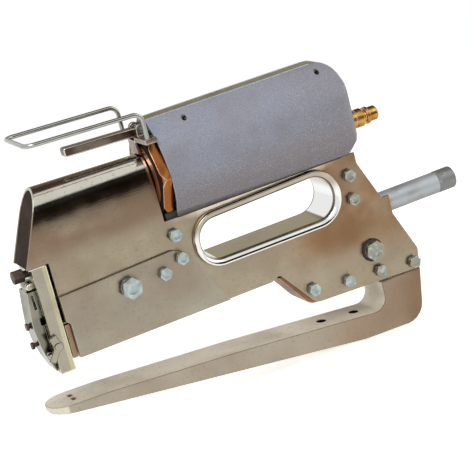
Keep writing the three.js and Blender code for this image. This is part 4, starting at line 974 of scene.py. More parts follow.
class Growth(NodeBook):
    """A Geometry Nodes tree with named inputs, put on a piece and then made plain."""

    def __init__(self, name: str, **sizes: float) -> None:
        """Make the tree and its inputs.

        Args:
            name: The tree's name.
            sizes: Named sizes in millimetres, which the tree takes in metres.
        """
        group = bpy.data.node_groups.new(name, "GeometryNodeTree")
        super().__init__(group)
        self.sizes = {size: value * MM for size, value in sizes.items()}
        face = group.interface
        face.new_socket("Geometry", in_out="OUTPUT", socket_type="NodeSocketGeometry")
        face.new_socket("Geometry", in_out="INPUT", socket_type="NodeSocketGeometry")
        for size in sizes:
            face.new_socket(size, in_out="INPUT", socket_type="NodeSocketFloat")
        face.new_socket("Finish", in_out="INPUT", socket_type="NodeSocketMaterial")
        self.inputs = self.add("NodeGroupInput").outputs

    def vector(self, x: Value = 0.0, y: Value = 0.0, z: Value = 0.0) -> Socket:
        """Combine three values to a vector."""
        return self.add("ShaderNodeCombineXYZ", inputs={0: x, 1: y, 2: z}).outputs[0]

    def moved(self, shape: Value, place: Value, scale: Value | None = None) -> Socket:
        """Move a shape, and scale it first where a scale is given.

        Args:
            shape: The shape.
            place: How far it moves.
            scale: Its factors on X, Y and Z.

        Returns:
            The moved shape.
        """
        inputs = {"Geometry": shape, "Translation": place}
        if scale is not None:
            inputs["Scale"] = scale
        return self.add("GeometryNodeTransform", inputs=inputs).outputs[0]

    def joined(self, *shapes: Socket) -> Socket:
        """Join shapes to one.

        Args:
            shapes: The shapes.

        Returns:
            All of them as one.
        """
        node = self.add("GeometryNodeJoinGeometry")
        for shape in shapes:
            self.tree.links.new(shape, node.inputs[0])
        return node.outputs[0]

    def prism(self, sides: int, radius: Value, depth: Value, z: Value = 0.0) -> Socket:
        """Add an upright prism, its middle at a height.

        Args:
            sides: How many sides it has.
            radius: From its middle to a corner.
            depth: Its length.
            z: Its middle's height.

        Returns:
            The prism.
        """
        inputs = {"Vertices": sides, "Radius": radius, "Depth": depth}
        shape = self.add("GeometryNodeMeshCylinder", {"fill_type": "NGON"}, inputs).outputs["Mesh"]
        return self.moved(shape, self.vector(z=z))

    def carved(self, cut: Cut, first: Value, second: Value) -> Socket:
        """Cut one solid by another, or keep what both hold.

        Args:
            cut: What is left.
            first: The solid.
            second: What cuts or limits it.

        Returns:
            The result.
        """
        node = self.add("GeometryNodeMeshBoolean", {"operation": cut.value, "solver": "EXACT"})
        one = 0 if cut is Cut.AWAY else 1
        self.tree.links.new(first, node.inputs[one])
        self.tree.links.new(second, node.inputs[1])
        return node.outputs[0]

    def read(self, name: str, kind: str) -> Socket:
        """Read a named value of the points."""
        return self.add("GeometryNodeInputNamedAttribute", {"data_type": kind}, {"Name": name}).outputs[0]

    def placed(self, shape: Value, scale: Value = (1.0, 1.0, 1.0)) -> Socket:
        """Set a shape on every point, turned as the point's attribute says.

        Args:
            shape: The shape.
            scale: Its factors on X, Y and Z.

        Returns:
            The copies.
        """
        aim = self.add("FunctionNodeEulerToRotation", inputs={0: self.read("turn", "FLOAT_VECTOR")}).outputs[0]
        inputs = {"Points": self.inputs["Geometry"], "Instance": shape, "Rotation": aim, "Scale": scale}
        return self.add("GeometryNodeInstanceOnPoints", inputs=inputs).outputs[0]

    def close(self, shape: Socket) -> None:
        """End the tree in real geometry with its material.

        Args:
            shape: What the tree made.
        """
        real = self.add("GeometryNodeRealizeInstances", inputs={0: shape}).outputs[0]
        coloured = self.add("GeometryNodeSetMaterial", inputs={"Geometry": real, "Material": self.inputs["Finish"]})
        self.add("NodeGroupOutput", inputs={0: coloured.outputs[0]})

    def grown(self, mesh: Mesh, finish: Finish) -> Mesh:
        """Run the tree on a mesh.

        Args:
            mesh: The points or the path that the shape grows on.
            finish: The finish of what grows.

        Returns:
            The plain result, merged and facing outwards.
        """
        piece = linked(mesh.name, mesh)
        modifier = piece.modifiers.new(self.tree.name, "NODES")
        modifier.node_group = self.tree
        values = {**self.sizes, "Finish": finish.material()}
        for item in self.tree.interface.items_tree:
            if item.item_type == "SOCKET" and item.in_out == "INPUT" and item.name in values:
                modifier[item.identifier] = values[item.name]
        result = settled(piece).data
        bpy.data.objects.remove(piece)
        tidied(result, join_flat=False)
        return result


def point_mesh(name: str, places: list[Vector], turns: list[Vector]) -> Mesh:
    """Make a mesh of loose points, each with the way that its instance is turned.

    Args:
        name: The mesh's name.
        places: The points.
        turns: The Euler turn at each point.

    Returns:
        The mesh with the attribute "turn".
    """
    mesh = bpy.data.meshes.new(name)
    mesh.from_pydata(places, [], [])
    turn = mesh.attributes.new("turn", "FLOAT_VECTOR", "POINT")
    turn.data.foreach_set("vector", [value for one in turns for value in one])
    return mesh


def path_mesh(name: str, places: list[Vector], closed: bool) -> Mesh:
    """Make a mesh of edges along a path.

    Args:
        name: The mesh's name.
        places: The path's points.
        closed: Whether the last point joins the first.

    Returns:
        The mesh, without faces.
    """
    mesh = bpy.data.meshes.new(name)
    edges = [(k, k + 1) for k in range(len(places) - 1)]
    if closed:
        edges.append((len(places) - 1, 0))
    mesh.from_pydata(places, edges, [])
    return mesh


def smoothed(mesh: Mesh) -> Mesh:
    """Shade a mesh smooth but for its sharp edges.

    Args:
        mesh: The mesh.

    Returns:
        The same mesh.
    """
    mesh.shade_smooth()
    mesh.set_sharp_from_angle(angle=SHARP_ANGLE)
    return mesh


@dataclass(frozen=True)
class BoltPlace:
    """Where a through bolt sits, which face it clamps, and how its hexagon is turned."""

    node: str
    x: float
    z: float
    face: float
    turn: float


@dataclass
class HexBolts:
    """Hexagon heads of one size on both sides of the body."""

    name: str
    across: float
    head: float
    shank: float
    places: tuple[BoltPlace, ...]
    reach: float = 13.0
    washer: float = 0.4
    dish: float = 0.16
    chamfer_share: float = 0.48
    dish_share: float = 0.3
    washer_share: float = 0.49
    round_sides: int = 48
    stem_sides: int = 24
    dent_rings: int = 16

    def tree(self) -> Growth:
        """Write the tree that makes one chamfered head and sets it on every point.

        Returns:
            The finished tree.
        """
        sizes = {"Across": self.across, "Head": self.head, "Shank": self.shank, "Reach": self.reach}
        book = Growth(self.name + "_tree", **sizes, Washer=self.washer, Dish=self.dish)
        across, head, shank, reach, washer, dish = (book.inputs[name] for name in book.sizes)
        middle = book.sum("MULTIPLY_ADD", head, 0.5, washer)
        hexagon = book.prism(6, book.sum("DIVIDE", across, math.sqrt(3)), head, middle)
        top = book.sum("MULTIPLY", across, self.chamfer_share)
        slope = book.sum("MULTIPLY_ADD", head, math.sqrt(3), top)
        cone = book.add(
            "GeometryNodeMeshCone",
            {"fill_type": "NGON"},
            {"Vertices": self.round_sides, "Radius Top": top, "Radius Bottom": slope, "Depth": head},
        ).outputs["Mesh"]
        chamfered = book.carved(Cut.SHARED, hexagon, book.moved(cone, book.vector(z=middle)))
        inputs = {"Segments": 2 * self.dent_rings, "Rings": self.dent_rings, "Radius": 1.0}
        ball = book.add("GeometryNodeMeshUVSphere", inputs=inputs).outputs["Mesh"]
        wide = book.sum("MULTIPLY", across, self.dish_share)
        dent = book.moved(ball, book.vector(z=book.sum("ADD", head, washer)), book.vector(wide, wide, dish))
        flange = book.sum("MULTIPLY", across, self.washer_share)
        under = book.prism(self.round_sides, flange, book.sum("MULTIPLY", washer, 2.0), washer)
        stem = book.prism(self.stem_sides, book.sum("MULTIPLY", shank, 0.5), reach, book.sum("MULTIPLY", reach, -0.5))
        book.close(book.placed(book.joined(book.carved(Cut.AWAY, chamfered, dent), under, stem)))
        return book

    def build(self) -> Piece:
        """Set the heads on their places on both sides, and replace the CAD bolts.

        Returns:
            The finished bolts.
        """
        places, turns = [], []
        for bolt in self.places:
            for side, tilt in FACINGS:
                places.append(at(bolt.x, side * bolt.face, bolt.z))
                turns.append(Vector((math.radians(tilt), side * math.radians(bolt.turn), 0)))
        heads = self.tree().grown(point_mesh(self.name, places, turns), ZINC)
        nodes = (bolt.node for bolt in self.places)
        return Dress("body", "zinc", ZINC, EdgeBreak(0.18, 2, 25), None).make(self.name, heads, *nodes)


@dataclass
class SlotLiner:
    """The bell-mouthed liner, its section swept round the hand slot."""

    front: float = 100.55
    rear: float = 202.05
    bottom: float = 29.3
    front_top: float = 56.9
    rear_top: float = 60.1
    front_radius: float = 13.0
    rear_radius: float = 14.9
    flare: float = 2.6
    wall: float = 1.5
    lip: float = 1.4
    mouth: float = 18.5
    step: float = math.radians(5)

    def outline(self) -> list[Vector]:
        """Give the slot's rounded outline as places in the frame's X and Z, written as X and Y.

        Returns:
            The outline's points.
        """
        corners = (
            (self.front, self.bottom, self.front_radius),
            (self.rear, self.bottom, self.rear_radius),
            (self.rear, self.rear_top, self.rear_radius),
            (self.front, self.front_top, self.front_radius),
        )
        return [Vector((x - DRAWN_CENTRE.x, z - DRAWN_CENTRE.z, 0)) * MM for x, z in rounded(corners, self.step)]

    def tree(self) -> Growth:
        """Write the tree that sweeps the section round the outline.

        Returns:
            The finished tree.
        """
        sizes = {"Radius": self.flare + self.wall, "Wall": self.wall, "Lip": self.lip, "Mouth": self.mouth}
        book = Growth("bell_mouth_tree", **sizes, Face=PLATE_FACE)
        radius, wall, lip, mouth, face = (book.inputs[name] for name in book.sizes)
        bend = book.sum("SUBTRACT", mouth, radius)
        rim = book.sum("ADD", radius, lip)
        half = book.joined(
            self.line(book, book.vector(0.0, 0.0), book.vector(0.0, bend)),
            self.arc(book, 180, book.vector(radius, bend), book.vector(radius, radius, 1.0)),
            self.arc(book, 90, book.vector(radius, face), book.vector(lip, book.sum("SUBTRACT", mouth, face), 1.0)),
            self.line(book, book.vector(rim, face), book.vector(radius, face)),
            self.line(book, book.vector(radius, face), book.vector(wall, bend)),
            self.line(book, book.vector(wall, bend), book.vector(wall, 0.0)),
        )
        section = book.joined(half, book.moved(half, (0, 0, 0), (1, -1, 1)))
        curve = book.add("GeometryNodeMeshToCurve", inputs={0: book.inputs["Geometry"]}).outputs[0]
        upright = book.add("GeometryNodeSetCurveNormal", {"mode": "Z_UP"}, {"Curve": curve}).outputs[0]
        sheet = book.add("GeometryNodeCurveToMesh", inputs={"Curve": upright, "Profile Curve": section}).outputs[0]
        inputs = {"Geometry": sheet, "Distance": SWEPT_MERGE}
        book.close(book.add("GeometryNodeMergeByDistance", inputs=inputs).outputs[0])
        return book

    @staticmethod
    def line(book: Growth, start: Value, end: Value) -> Socket:
        """Add a straight part of the section."""
        return book.add("GeometryNodeCurvePrimitiveLine", inputs={"Start": start, "End": end}).outputs[0]

    @staticmethod
    def arc(book: Growth, start: float, place: Value, scale: Value) -> Socket:
        """Add a quarter of a unit circle, scaled, to the section.

        Args:
            book: The tree.
            start: The angle in degrees at which it starts.
            place: Where its middle goes.
            scale: Its factors.

        Returns:
            The arc.
        """
        turn = {"Start Angle": math.radians(start), "Sweep Angle": -math.pi / 2}
        node = book.add("GeometryNodeCurveArc", {"mode": "RADIUS"}, {"Resolution": ARC_POINTS, "Radius": 1.0, **turn})
        return book.moved(node.outputs[0], place, scale)

    def build(self) -> Piece:
        """Make the liner, stand it upright in the slot, and replace the CAD liner.

        Returns:
            The finished liner.
        """
        mesh = self.tree().grown(path_mesh("slot_outline", self.outline(), True), CHROME)
        mesh.transform(Matrix.Rotation(math.radians(90), 4, "X"))
        tidied(mesh, join_flat=False)
        return fitted(linked("slot_liner_finished", smoothed(mesh)), "body", "polished", "slot_liner")


def rounded(corners: Sequence[Triple], step: float) -> list[Place]:
    """Round the corners of a closed outline.

    Args:
        corners: Each corner's two coordinates and its radius.
        step: The arcs' angle step in radians.

    Returns:
        The outline's points.
    """
    points: list[Place] = []
    for number, (a, b, radius) in enumerate(corners):
        here = Vector((a, b))
        before = Vector(corners[number - 1][:2]) - here
        after = Vector(corners[(number + 1) % len(corners)][:2]) - here
        longest = min(before.length, after.length) / 2
        before.normalize()
        after.normalize()
        half = before.angle(after) / 2
        reach = min(radius / math.tan(half), longest)
        centre = here + (before + after).normalized() * (reach / math.cos(half))
        start, last = here + before * reach - centre, here + after * reach - centre
        turn = start.angle(last)
        count = max(2, round(turn / step))
        sign = 1 if start.cross(last) > 0 else -1
        for k in range(count + 1):
            points.append(tuple(centre + Matrix.Rotation(sign * turn * k / count, 2) @ start))
    return points


@dataclass
class WireRun:
    """A round wire or bead drawn along a path on the body, its corners rounded."""

    name: str
    radius: float
    bend: float = 0.1
    sides: int = 12
    steps: int = 9

    def tree(self) -> Growth:
        """Write the tree that rounds the path's corners and draws the wire along it.

        Returns:
            The finished tree.
        """
        book = Growth(self.name + "_tree", Radius=self.radius, Bend=self.bend)
        curve = book.add("GeometryNodeMeshToCurve", inputs={0: book.inputs["Geometry"]}).outputs[0]
        inputs = {"Curve": curve, "Radius": book.inputs["Bend"], "Count": self.steps}
        bent = book.add("GeometryNodeFilletCurve", {"mode": "POLY"}, inputs).outputs[0]
        inputs = {"Resolution": self.sides, "Radius": book.inputs["Radius"]}
        circle = book.add("GeometryNodeCurvePrimitiveCircle", inputs=inputs).outputs[0]
        inputs = {"Curve": bent, "Profile Curve": circle, "Fill Caps": True}
        book.close(book.add("GeometryNodeCurveToMesh", inputs=inputs).outputs[0])
        return book

    def draw(self, path: Sequence[Vector], finish: Finish, slot: str, *nodes: str) -> Piece:
        """Draw the wire along a path.

        Args:
            path: The corners in the frame.
            finish: The wire's finish.
            slot: The record's material slot.
            nodes: The CAD nodes that it replaces.

        Returns:
            The wire, on the body.
        """
        mesh = self.tree().grown(path_mesh(self.name, list(path), False), finish)
        return fitted(linked(self.name, smoothed(mesh)), "body", slot, *nodes)


@dataclass
class GuardBow:
    """The bent wire over the trigger."""

    radius: float = 1.5
    half: float = 22.5
    front: float = 2.0
    rear: float = 81.0
    front_z: float = 144.3
    rear_z: float = 141.3
    leg_z: float = 121.4
    bend: float = 6.0

    def build(self) -> Piece:
        """Bend the wire and replace the CAD bow.

        Returns:
            The finished bow.
        """
        side = ((self.rear, self.leg_z), (self.rear, self.rear_z), (self.front, self.front_z))
        path = [at(x, -self.half, z) for x, z in side] + [at(x, self.half, z) for x, z in reversed(side)]
        return WireRun("guard_bow_finished", self.radius, self.bend, 24).draw(path, WIRE, "polished", "guard_bow")


@dataclass
class SheetBody:
    """The folded sheet body, its hood, its covers and the plate in the hood's mouth."""

    tangent: float = 99.3
    crest: float = 114.3
    curve_start: float = 82.0
    draw_in: float = 0.8
    rows: int = 8
    probe: float = 0.05
    upright: float = 0.2
    alike: float = 0.9

    def build(self) -> None:
        """Build the shell and its front plate with the softly bent hood, then the covers."""
        shell = Dress("body", "nickel", PLATE, EdgeBreak(0.3), srgb(132, 120, 104)).carry("body_shell", self.bend_hood)
        self.even_hood(shell.data)
        Dress("body", "charcoal", CHARCOAL, EdgeBreak(0.4), srgb(104, 94, 90)).carry("front_plate", self.bend_hood)
        for node in ("magazine_cover_left", "magazine_cover_right"):
            Dress("body", "nickel", COVER_SHEET, EdgeBreak(0.4), srgb(190, 184, 168)).carry(node)

    def bend_hood(self, mesh: Mesh) -> None:
        """Draw the plates in a little towards the hood's crown, as a sheet bent over a former is.

        Args:
            mesh: A merged mesh whose widths follow the hood.
        """
        span = self.tangent - self.curve_start
        with edited(mesh) as work:
            for row in range(self.rows + 1):
                cut = at(0, 0, self.curve_start + span * row / self.rows)
                every = work.verts[:] + work.edges[:] + work.faces[:]
                bmesh.ops.bisect_plane(work, geom=every, dist=MERGE, plane_co=cut, plane_no=(0, 0, 1))
            for vertex in work.verts:
                vertex.co.y *= self.narrowing(drawn(vertex.co)[2])

    def narrowing(self, height: float) -> float:
        """Give the factor on the width at a height: 1 low on the plates, least at the crest.

        Args:
            height: The drawn height in millimetres.

        Returns:
            The factor, whose slope has no jump.
        """
        radius = self.crest - self.tangent
        span = self.tangent - self.curve_start
        share = min(1.0, max(0.0, (height - self.curve_start) / span))
        over = min(radius, max(0.0, height - self.tangent))
        slope = 2 * self.draw_in / span
        return 1 - (self.draw_in * share * share + slope * over * (1 - over / (2 * radius))) / radius

    def even_hood(self, mesh: Mesh) -> None:
        """Set the hood's normals from its section, so that it mirrors as one smooth bend.

        Args:
            mesh: The finished mesh of the shell.
        """
        normals = [corner.vector.copy() for corner in mesh.corner_normals]
        for face in mesh.polygons:
            low = drawn(face.center)[2] < self.curve_start
            if low or abs(face.normal.x) > self.upright or face.material_index:
                continue
            for corner in face.loop_indices:
                across, height = drawn(mesh.vertices[mesh.loops[corner].vertex_index].co)[1:]
                ideal = self.section_normal(across, height)
                match = ideal.dot(face.normal)
                if abs(match) > self.alike:
                    normals[corner] = ideal if match > 0 else -ideal
        mesh.normals_split_custom_set(normals)

    def section_normal(self, across: float, height: float) -> Vector:
        """Give the outward direction of the hood's section beside a point.

        Args:
            across: The point's drawn Y.
            height: Its drawn height.

        Returns:
            A unit vector in the plane across the body.
        """
        side = 1.0 if across > 0 else -1.0
        slope = (self.narrowing(height + self.probe) - self.narrowing(height - self.probe)) / (2 * self.probe)
        if height <= self.tangent:
            return Vector((0, side, -abs(across) * slope)).normalized()
        factor = self.narrowing(height)
        plain = abs(across) / factor
        return Vector((0, side * plain / factor, height - self.tangent - plain * plain * slope / factor)).normalized()


@dataclass
class GripHousing:
    """The speckled covers, the spine between them, the saddle and the cover screws."""

    lower_edge: float = 66.3
    lower_half: float = 15.75
    lower_front: float = 89.3
    lower_rear: float = 213.5
    # Radius of the black bead under the covers' lower edges, which paints the shadow line there.
    shadow_bead: float = 0.5
    top: float = 132.75
    top_half: float = 6.75
    top_front: float = 88.4
    top_rear: float = 210.5
    # Radius of the bright bead along the covers' tops: a rolled lip that also paints a highlight line.
    lip: float = 0.42
    screw_z: float = 127.2
    screw_face: float = 12.2
    screw_places: tuple[Place, ...] = ((112.3, 8.2), (212.2, 3.1))
    screw_radius: float = 1.72
    screw_head: float = 2.2
    screw_socket: float = 0.95
    screw_shank: float = 1.1
    screw_sides: int = 32
    shank_sides: int = 16
    cover_merge: float = 1.5e-4

    def build(self) -> None:
        """Build the covers, what shows between and under them, a black bead of painted shadow along their lower edges,
        and a bright lip bead, partly a painted highlight, along their tops.
        """
        for side, name in ((-1, "left"), (1, "right")):
            low = [at(x, side * self.lower_half, self.lower_edge) for x in (self.lower_front, self.lower_rear)]
            WireRun("cover_shadow_bead_" + name, self.shadow_bead).draw(low, RUBBER_AND_SHADE_BLACK, "rubber")
            high = [at(x, side * self.top_half, self.top) for x in (self.top_front, self.top_rear)]
            WireRun("cover_lip_highlight_" + name, self.lip).draw(high, LIP_AND_HIGHLIGHT_CHROME, "grey_paint")
        self.screws()
        cover = Dress("body", "grey_paint", HOUSING_PAINT, EdgeBreak(0.45, 2, 38), srgb(196, 198, 204), 0.35)
        for node in ("cover_left", "cover_right"):
            cover.carry(node, merge=self.cover_merge)
        Dress("body", "aluminium", SPINE_METAL, EdgeBreak(0.5, 2, 38), srgb(206, 204, 196)).carry("spine")
        Dress("body", "black_plastic", BLACK_PLASTIC, EdgeBreak(0.3), srgb(48, 47, 48)).carry("saddle")

    def screw_tree(self) -> Growth:
        """Write the tree that makes one socket screw and sets it on every point.

        Returns:
            The finished tree.
        """
        sizes = {"Radius": self.screw_radius, "Head": self.screw_head, "Socket": self.screw_socket}
        book = Growth("socket_screw_tree", **sizes, Shank=self.screw_shank)
        radius, head, socket, shank = (book.inputs[name] for name in book.sizes)
        cap = book.prism(self.screw_sides, radius, head, book.sum("MULTIPLY", head, -0.5))
        heads = book.placed(book.carved(Cut.AWAY, cap, book.prism(6, socket, head)))
        length = book.vector(1.0, 1.0, book.read("reach", "FLOAT"))
        book.close(book.joined(heads, book.placed(book.prism(self.shank_sides, shank, 1.0, -0.5), length)))
        return book

    def screws(self) -> Piece:
        """Set the dark socket screws into the covers' holes.

        Returns:
            The finished screws.
        """
        places, turns, reaches = [], [], []
        for side, tilt in FACINGS:
            for x, inner in self.screw_places:
                places.append(at(x, side * self.screw_face, self.screw_z))
                turns.append(Vector((math.radians(tilt), 0, 0)))
                reaches.append((self.screw_face - inner) * MM)
        points = point_mesh("cover_screws", places, turns)
        points.attributes.new("reach", "FLOAT", "POINT").data.foreach_set("value", reaches)
        dress = Dress("body", "black_plastic", BLACK_OXIDE, EdgeBreak(0.12, 2, 40), None)
        mesh = dress.paint(self.screw_tree().grown(points, BLACK_OXIDE))
        mesh.materials.append(SCREW_RIM.material())
        return dress.finished("cover_screws", mesh)


@dataclass
class AirParts:
    """The gland nut, the cylinder behind it and the air nipple."""

    nipple_z: float = 84.0
    nut_z: float = 95.5
    nut_front: float = 82.0
    shoulder: float = 87.5
    forward: float = 0.5
    lean: float = 0.0226
    lean_x: float = 88.6
    lean_z: float = 66.5
    front_reach: float = 0.05
    shoulder_reach: float = 0.2
    # The black ring on the nut's front face paints the shadow gap between its round face and its flats: radii, width
    # across flats, depth and gap.
    shadow_ring_inner: float = 21.2
    shadow_ring_outer: float = 27.2
    shadow_ring_across: float = 49.0
    shadow_ring_depth: float = 0.7
    shadow_ring_gap: float = 0.02
    ring_profile: tuple[Place, ...] = ((80.12, 17.2), (80.12, 22.0), (80.35, 22.25), (80.76, 22.25), (80.76, 17.2))
    nipple_profile: tuple[Place, ...] = (
        (211.3, 2.6), (211.3, 4.6), (211.7, 5.0), (230.8, 5.0), (230.8, 6.3), (231.1, 6.6), (236.6, 6.6),
        (236.9, 6.2), (237.5, 6.2), (237.8, 6.6), (242.7, 6.6), (243.0, 6.3), (243.0, 4.6), (243.3, 4.4),
        (245.1, 4.4), (245.4, 4.7), (245.4, 5.9), (245.7, 6.2), (247.6, 6.2), (248.0, 5.8), (248.2, 5.2),
        (253.3, 5.2), (254.0, 5.0), (254.5, 4.6), (254.9, 4.0), (255.0, 3.4), (254.6, 2.6),
    )

    def build(self) -> None:
        """Build the brass parts and the black ring that paints the shadow gap at the nut's front, and dress what lies
        inside.
        """
        brass = Dress("body", "brass", BRASS, EdgeBreak(0.4, 3, 24), srgb(240, 200, 140), 0.6)
        brass.carry("gland_nut", self.lean_shoulder)
        ring = turned("nut_collar", self.nut_z, self.ring_profile)
        Dress("body", "brass", BRASS, EdgeBreak(0.1, 2, 40), None).make("nut_collar", ring)
        Dress("body", "rubber", RUBBER_AND_SHADE_BLACK, EdgeBreak(0.12, 2, 40), None).make("nut_shadow_ring", self.seal())
        nipple = turned("air_nipple_finished", self.nipple_z, self.nipple_profile)
        gold = Dress("body", "gold", GOLD, EdgeBreak(0.12, 2, 30), srgb(255, 232, 170), 0.6)
        gold.make("air_nipple_finished", nipple, "air_nipple")
        dressed(ALUMINIUM, "cylinder_tube", "rear_head", "piston", "valve_body")
        dressed(RUBBER_AND_SHADE_BLACK, "piston_seal")

    def lean_shoulder(self, mesh: Mesh) -> None:
        """Let the nut's rear shoulder lean with the housing's front edge, and bring its face forward.

        Args:
            mesh: The nut before its edges are rounded.
        """
        for vertex in mesh.vertices:
            x, _, z = drawn(vertex.co)
            if abs(x - self.nut_front) < self.front_reach:
                vertex.co.x -= self.forward * MM
            elif abs(x - self.shoulder) < self.shoulder_reach:
                vertex.co.x = at(self.lean_x - (z - self.lean_z) * self.lean, 0, 0).x

    def seal(self) -> Mesh:
        """Make the mesh of the black hexagonal ring on the nut's front face, which paints the shadow gap there.

        Returns:
            A closed ring, its corners rounded to the outer radius.
        """
        front = self.nut_front - self.forward - self.shadow_ring_depth
        rear = self.nut_front - self.forward - self.shadow_ring_gap
        rings = []
        for x, inner in ((front, False), (front, True), (rear, True), (rear, False)):
            ring = []
            for step in range(RING_SIDES):
                angle = 2 * math.pi * step / RING_SIDES
                turn = (angle + math.pi / 6) % (math.pi / 3) - math.pi / 6
                flat = min(self.shadow_ring_across / 2 / math.cos(turn), self.shadow_ring_outer)
                radius = self.shadow_ring_inner if inner else flat
                aim = angle + math.pi / 2
                ring.append(at(x, radius * math.cos(aim), self.nut_z + radius * math.sin(aim)))
            rings.append(ring)
        return skinned("nut_shadow_ring", rings)


@dataclass
class TriggerGroup:
    """The trigger lever, its bracket, its pin and the wire guard."""

    spring: Spring = Spring("valve_spring", "valve_slide", free=105.02, fixed=122.0, travel=1.0)

    def build(self) -> None:
        """Build the lever and bracket with rounded edges, the wire bow and the valve's spring."""
        lever = Dress("trigger", "polished", TRIGGER_STEEL, EdgeBreak(0.7, 3), srgb(236, 232, 224), 0.8)
        lever.carry("trigger_lever")
        Dress("body", "steel", BRACKET_STEEL, EdgeBreak(0.5, 2)).carry("guard_bracket")
        GuardBow().build()
        dressed(ZINC, "trigger_pin")
        dressed(POLISHED, "valve_stem")
        self.spring.build()


@dataclass
class NoseGroup:
    """The guide bar, the bulged door with its studs, the catch and the dark top screw."""

    # A bright bead along each top edge of the guide bar paints a highlight there: its radius, half-width, height and
    # ends.
    rim: float = 0.45
    highlight_bead_half: float = 14.85
    highlight_bead_z: float = 66.1
    highlight_bead_ends: Place = (-16.6, -5.2)

    def build(self) -> None:
        """Build the nose's pieces, with bright beads that paint a highlight on the guide bar's top edges."""
        edges = EdgeBreak(0.8, 3, 32, outer_only=True)
        Dress("body", "polished", NOSE_STEEL, edges, srgb(238, 234, 214), 0.7).carry("nose_guide")
        Dress("door", "nickel", DOOR_STEEL, EdgeBreak(0.3), srgb(214, 210, 196), 0.6).carry("nose_door")
        # The catch's edges are painted dark, as painted shade along its outline.
        Dress("catch", "nickel", CATCH_STEEL, EdgeBreak(0.35), srgb(52, 44, 40), 0.9).carry("nose_catch")
        dull = srgb(112, 98, 92)
        for node in ("door_stud_upper", "door_stud_lower"):
            Dress("door", "gunmetal", GUNMETAL, EdgeBreak(0.3), dull).carry(node)
        Dress("body", "gunmetal", GUNMETAL, EdgeBreak(0.4), dull, 0.35).carry("front_screw")
        for side, name in ((-1, "left"), (1, "right")):
            path = [at(x, side * self.highlight_bead_half, self.highlight_bead_z) for x in self.highlight_bead_ends]
            WireRun("guide_highlight_bead_" + name, self.rim).draw(path, LIP_AND_HIGHLIGHT_CHROME, "polished")
        dressed(NOSE_STEEL, "catch_pin")


@dataclass
class Magazine:
    """The magazine channel, what feeds the staples, and the pull at the rear."""

    rod_z: float = 20.5
    tube_profile: tuple[Place, ...] = (
        (236.5, 2.8), (236.5, 6.9), (237.3, 7.7), (287.9, 7.7), (288.1, 7.5), (288.2, 2.8),
    )
    cap_profile: tuple[Place, ...] = (
        (288.3, 2.8), (288.3, 7.7), (288.6, 7.9), (300.6, 7.9), (301.5, 7.5), (302.0, 6.6), (302.0, 0.01),
        (299.3, 0.01), (299.3, 2.8),
    )
    spring: Spring = Spring("pusher_spring", "pusher_slide", free=80.64, fixed=208.7, travel=85.0)

    def build(self) -> None:
        """Build the pull and the spring, and dress the magazine."""
        Dress("body", "gunmetal", MAGAZINE_TAN, EdgeBreak(0.25)).carry("magazine_channel")
        pull = (("knob_tube", self.tube_profile, ALUMINIUM), ("knob_cap", self.cap_profile, CAP_METAL))
        for node, profile, finish in pull:
            mesh = turned(node, self.rod_z, profile)
            tidied(mesh, join_flat=False)
            dress = Dress("pusher", "aluminium", finish, EdgeBreak(0.15, 2, 35), srgb(206, 210, 214), 0.4)
            dress.make(node + "_finished", mesh, node)
        dressed(PLAIN_STEEL, "magazine_rail", "pusher")
        self.spring.build()
        dressed(ZINC, "staple_strip")
        dressed(POLISHED, "pusher_rod")


@dataclass
class CrankDrive:
    """The crank between the plates, the driver and the piston rod."""

    def build(self) -> None:
        """Dress the drive and round what the hood's mouth shows."""
        Dress("crank", "steel", PLAIN_STEEL, EdgeBreak(0.5)).carry("bell_crank")
        dressed(PLAIN_STEEL, "driver_holder", "clevis", "front_spacer", "rear_spacer")
        dressed(POLISHED, "driver_blade", "piston_rod", "clevis_pin")
        Dress("body", "gunmetal", BROWN_STEEL, EdgeBreak(0.35)).carry("tail_spacer")


@dataclass
class AnvilArm:
    """The long arm under the tool and the bushes of its pivot."""

    holes: tuple[float, ...] = (177.4, 202.9)
    hole_radius: float = 3.5
    pocket: Place = (-9.0, 4.0)
    pocket_half: Place = (1.6, 2.6)

    def build(self) -> None:
        """Build the arm with its rounded edges, bores painted dark as shade, brown pockets, and the bushes."""
        # The arm's edges are painted dark, as painted shade along the line between top and sides.
        dress = Dress("arm", "nickel", ARM_METAL, EdgeBreak(0.35, 2, 30), srgb(104, 90, 74), 0.7)
        dress.carry("anvil_arm", self.paint_bore_shade_and_pockets)
        for node in ("pivot_bush_left", "pivot_bush_right"):
            Dress("body", "black_plastic", BLACK_PLASTIC, EdgeBreak(0.3), srgb(60, 58, 58)).carry(node)

    def paint_bore_shade_and_pockets(self, mesh: Mesh) -> None:
        """Give the bores a dark finish that paints their shade, and the forming pockets a brown finish.

        Args:
            mesh: The arm before its edges are rounded.
        """
        for finish in (BORE_SHADE, BROWN_STEEL):
            mesh.materials.append(finish.material())
        for face in mesh.polygons:
            corners = [drawn(mesh.vertices[index].co) for index in face.vertices]
            if any(all(self.in_hole(corner, hole) for corner in corners) for hole in self.holes):
                face.material_index = 2
            elif all(self.in_pocket(corner) for corner in corners):
                face.material_index = 3

    def in_hole(self, place: Triple, hole: float) -> bool:
        """Tell whether a drawn place lies in the bore at a drawn X."""
        return math.hypot(place[0] - hole, place[1]) < self.hole_radius

    def in_pocket(self, place: Triple) -> bool:
        """Tell whether a drawn place lies in one of the two pockets."""
        (x, y), (along, across) = self.pocket, self.pocket_half
        return abs(place[0] - x) < along and abs(abs(place[1]) - y) < across


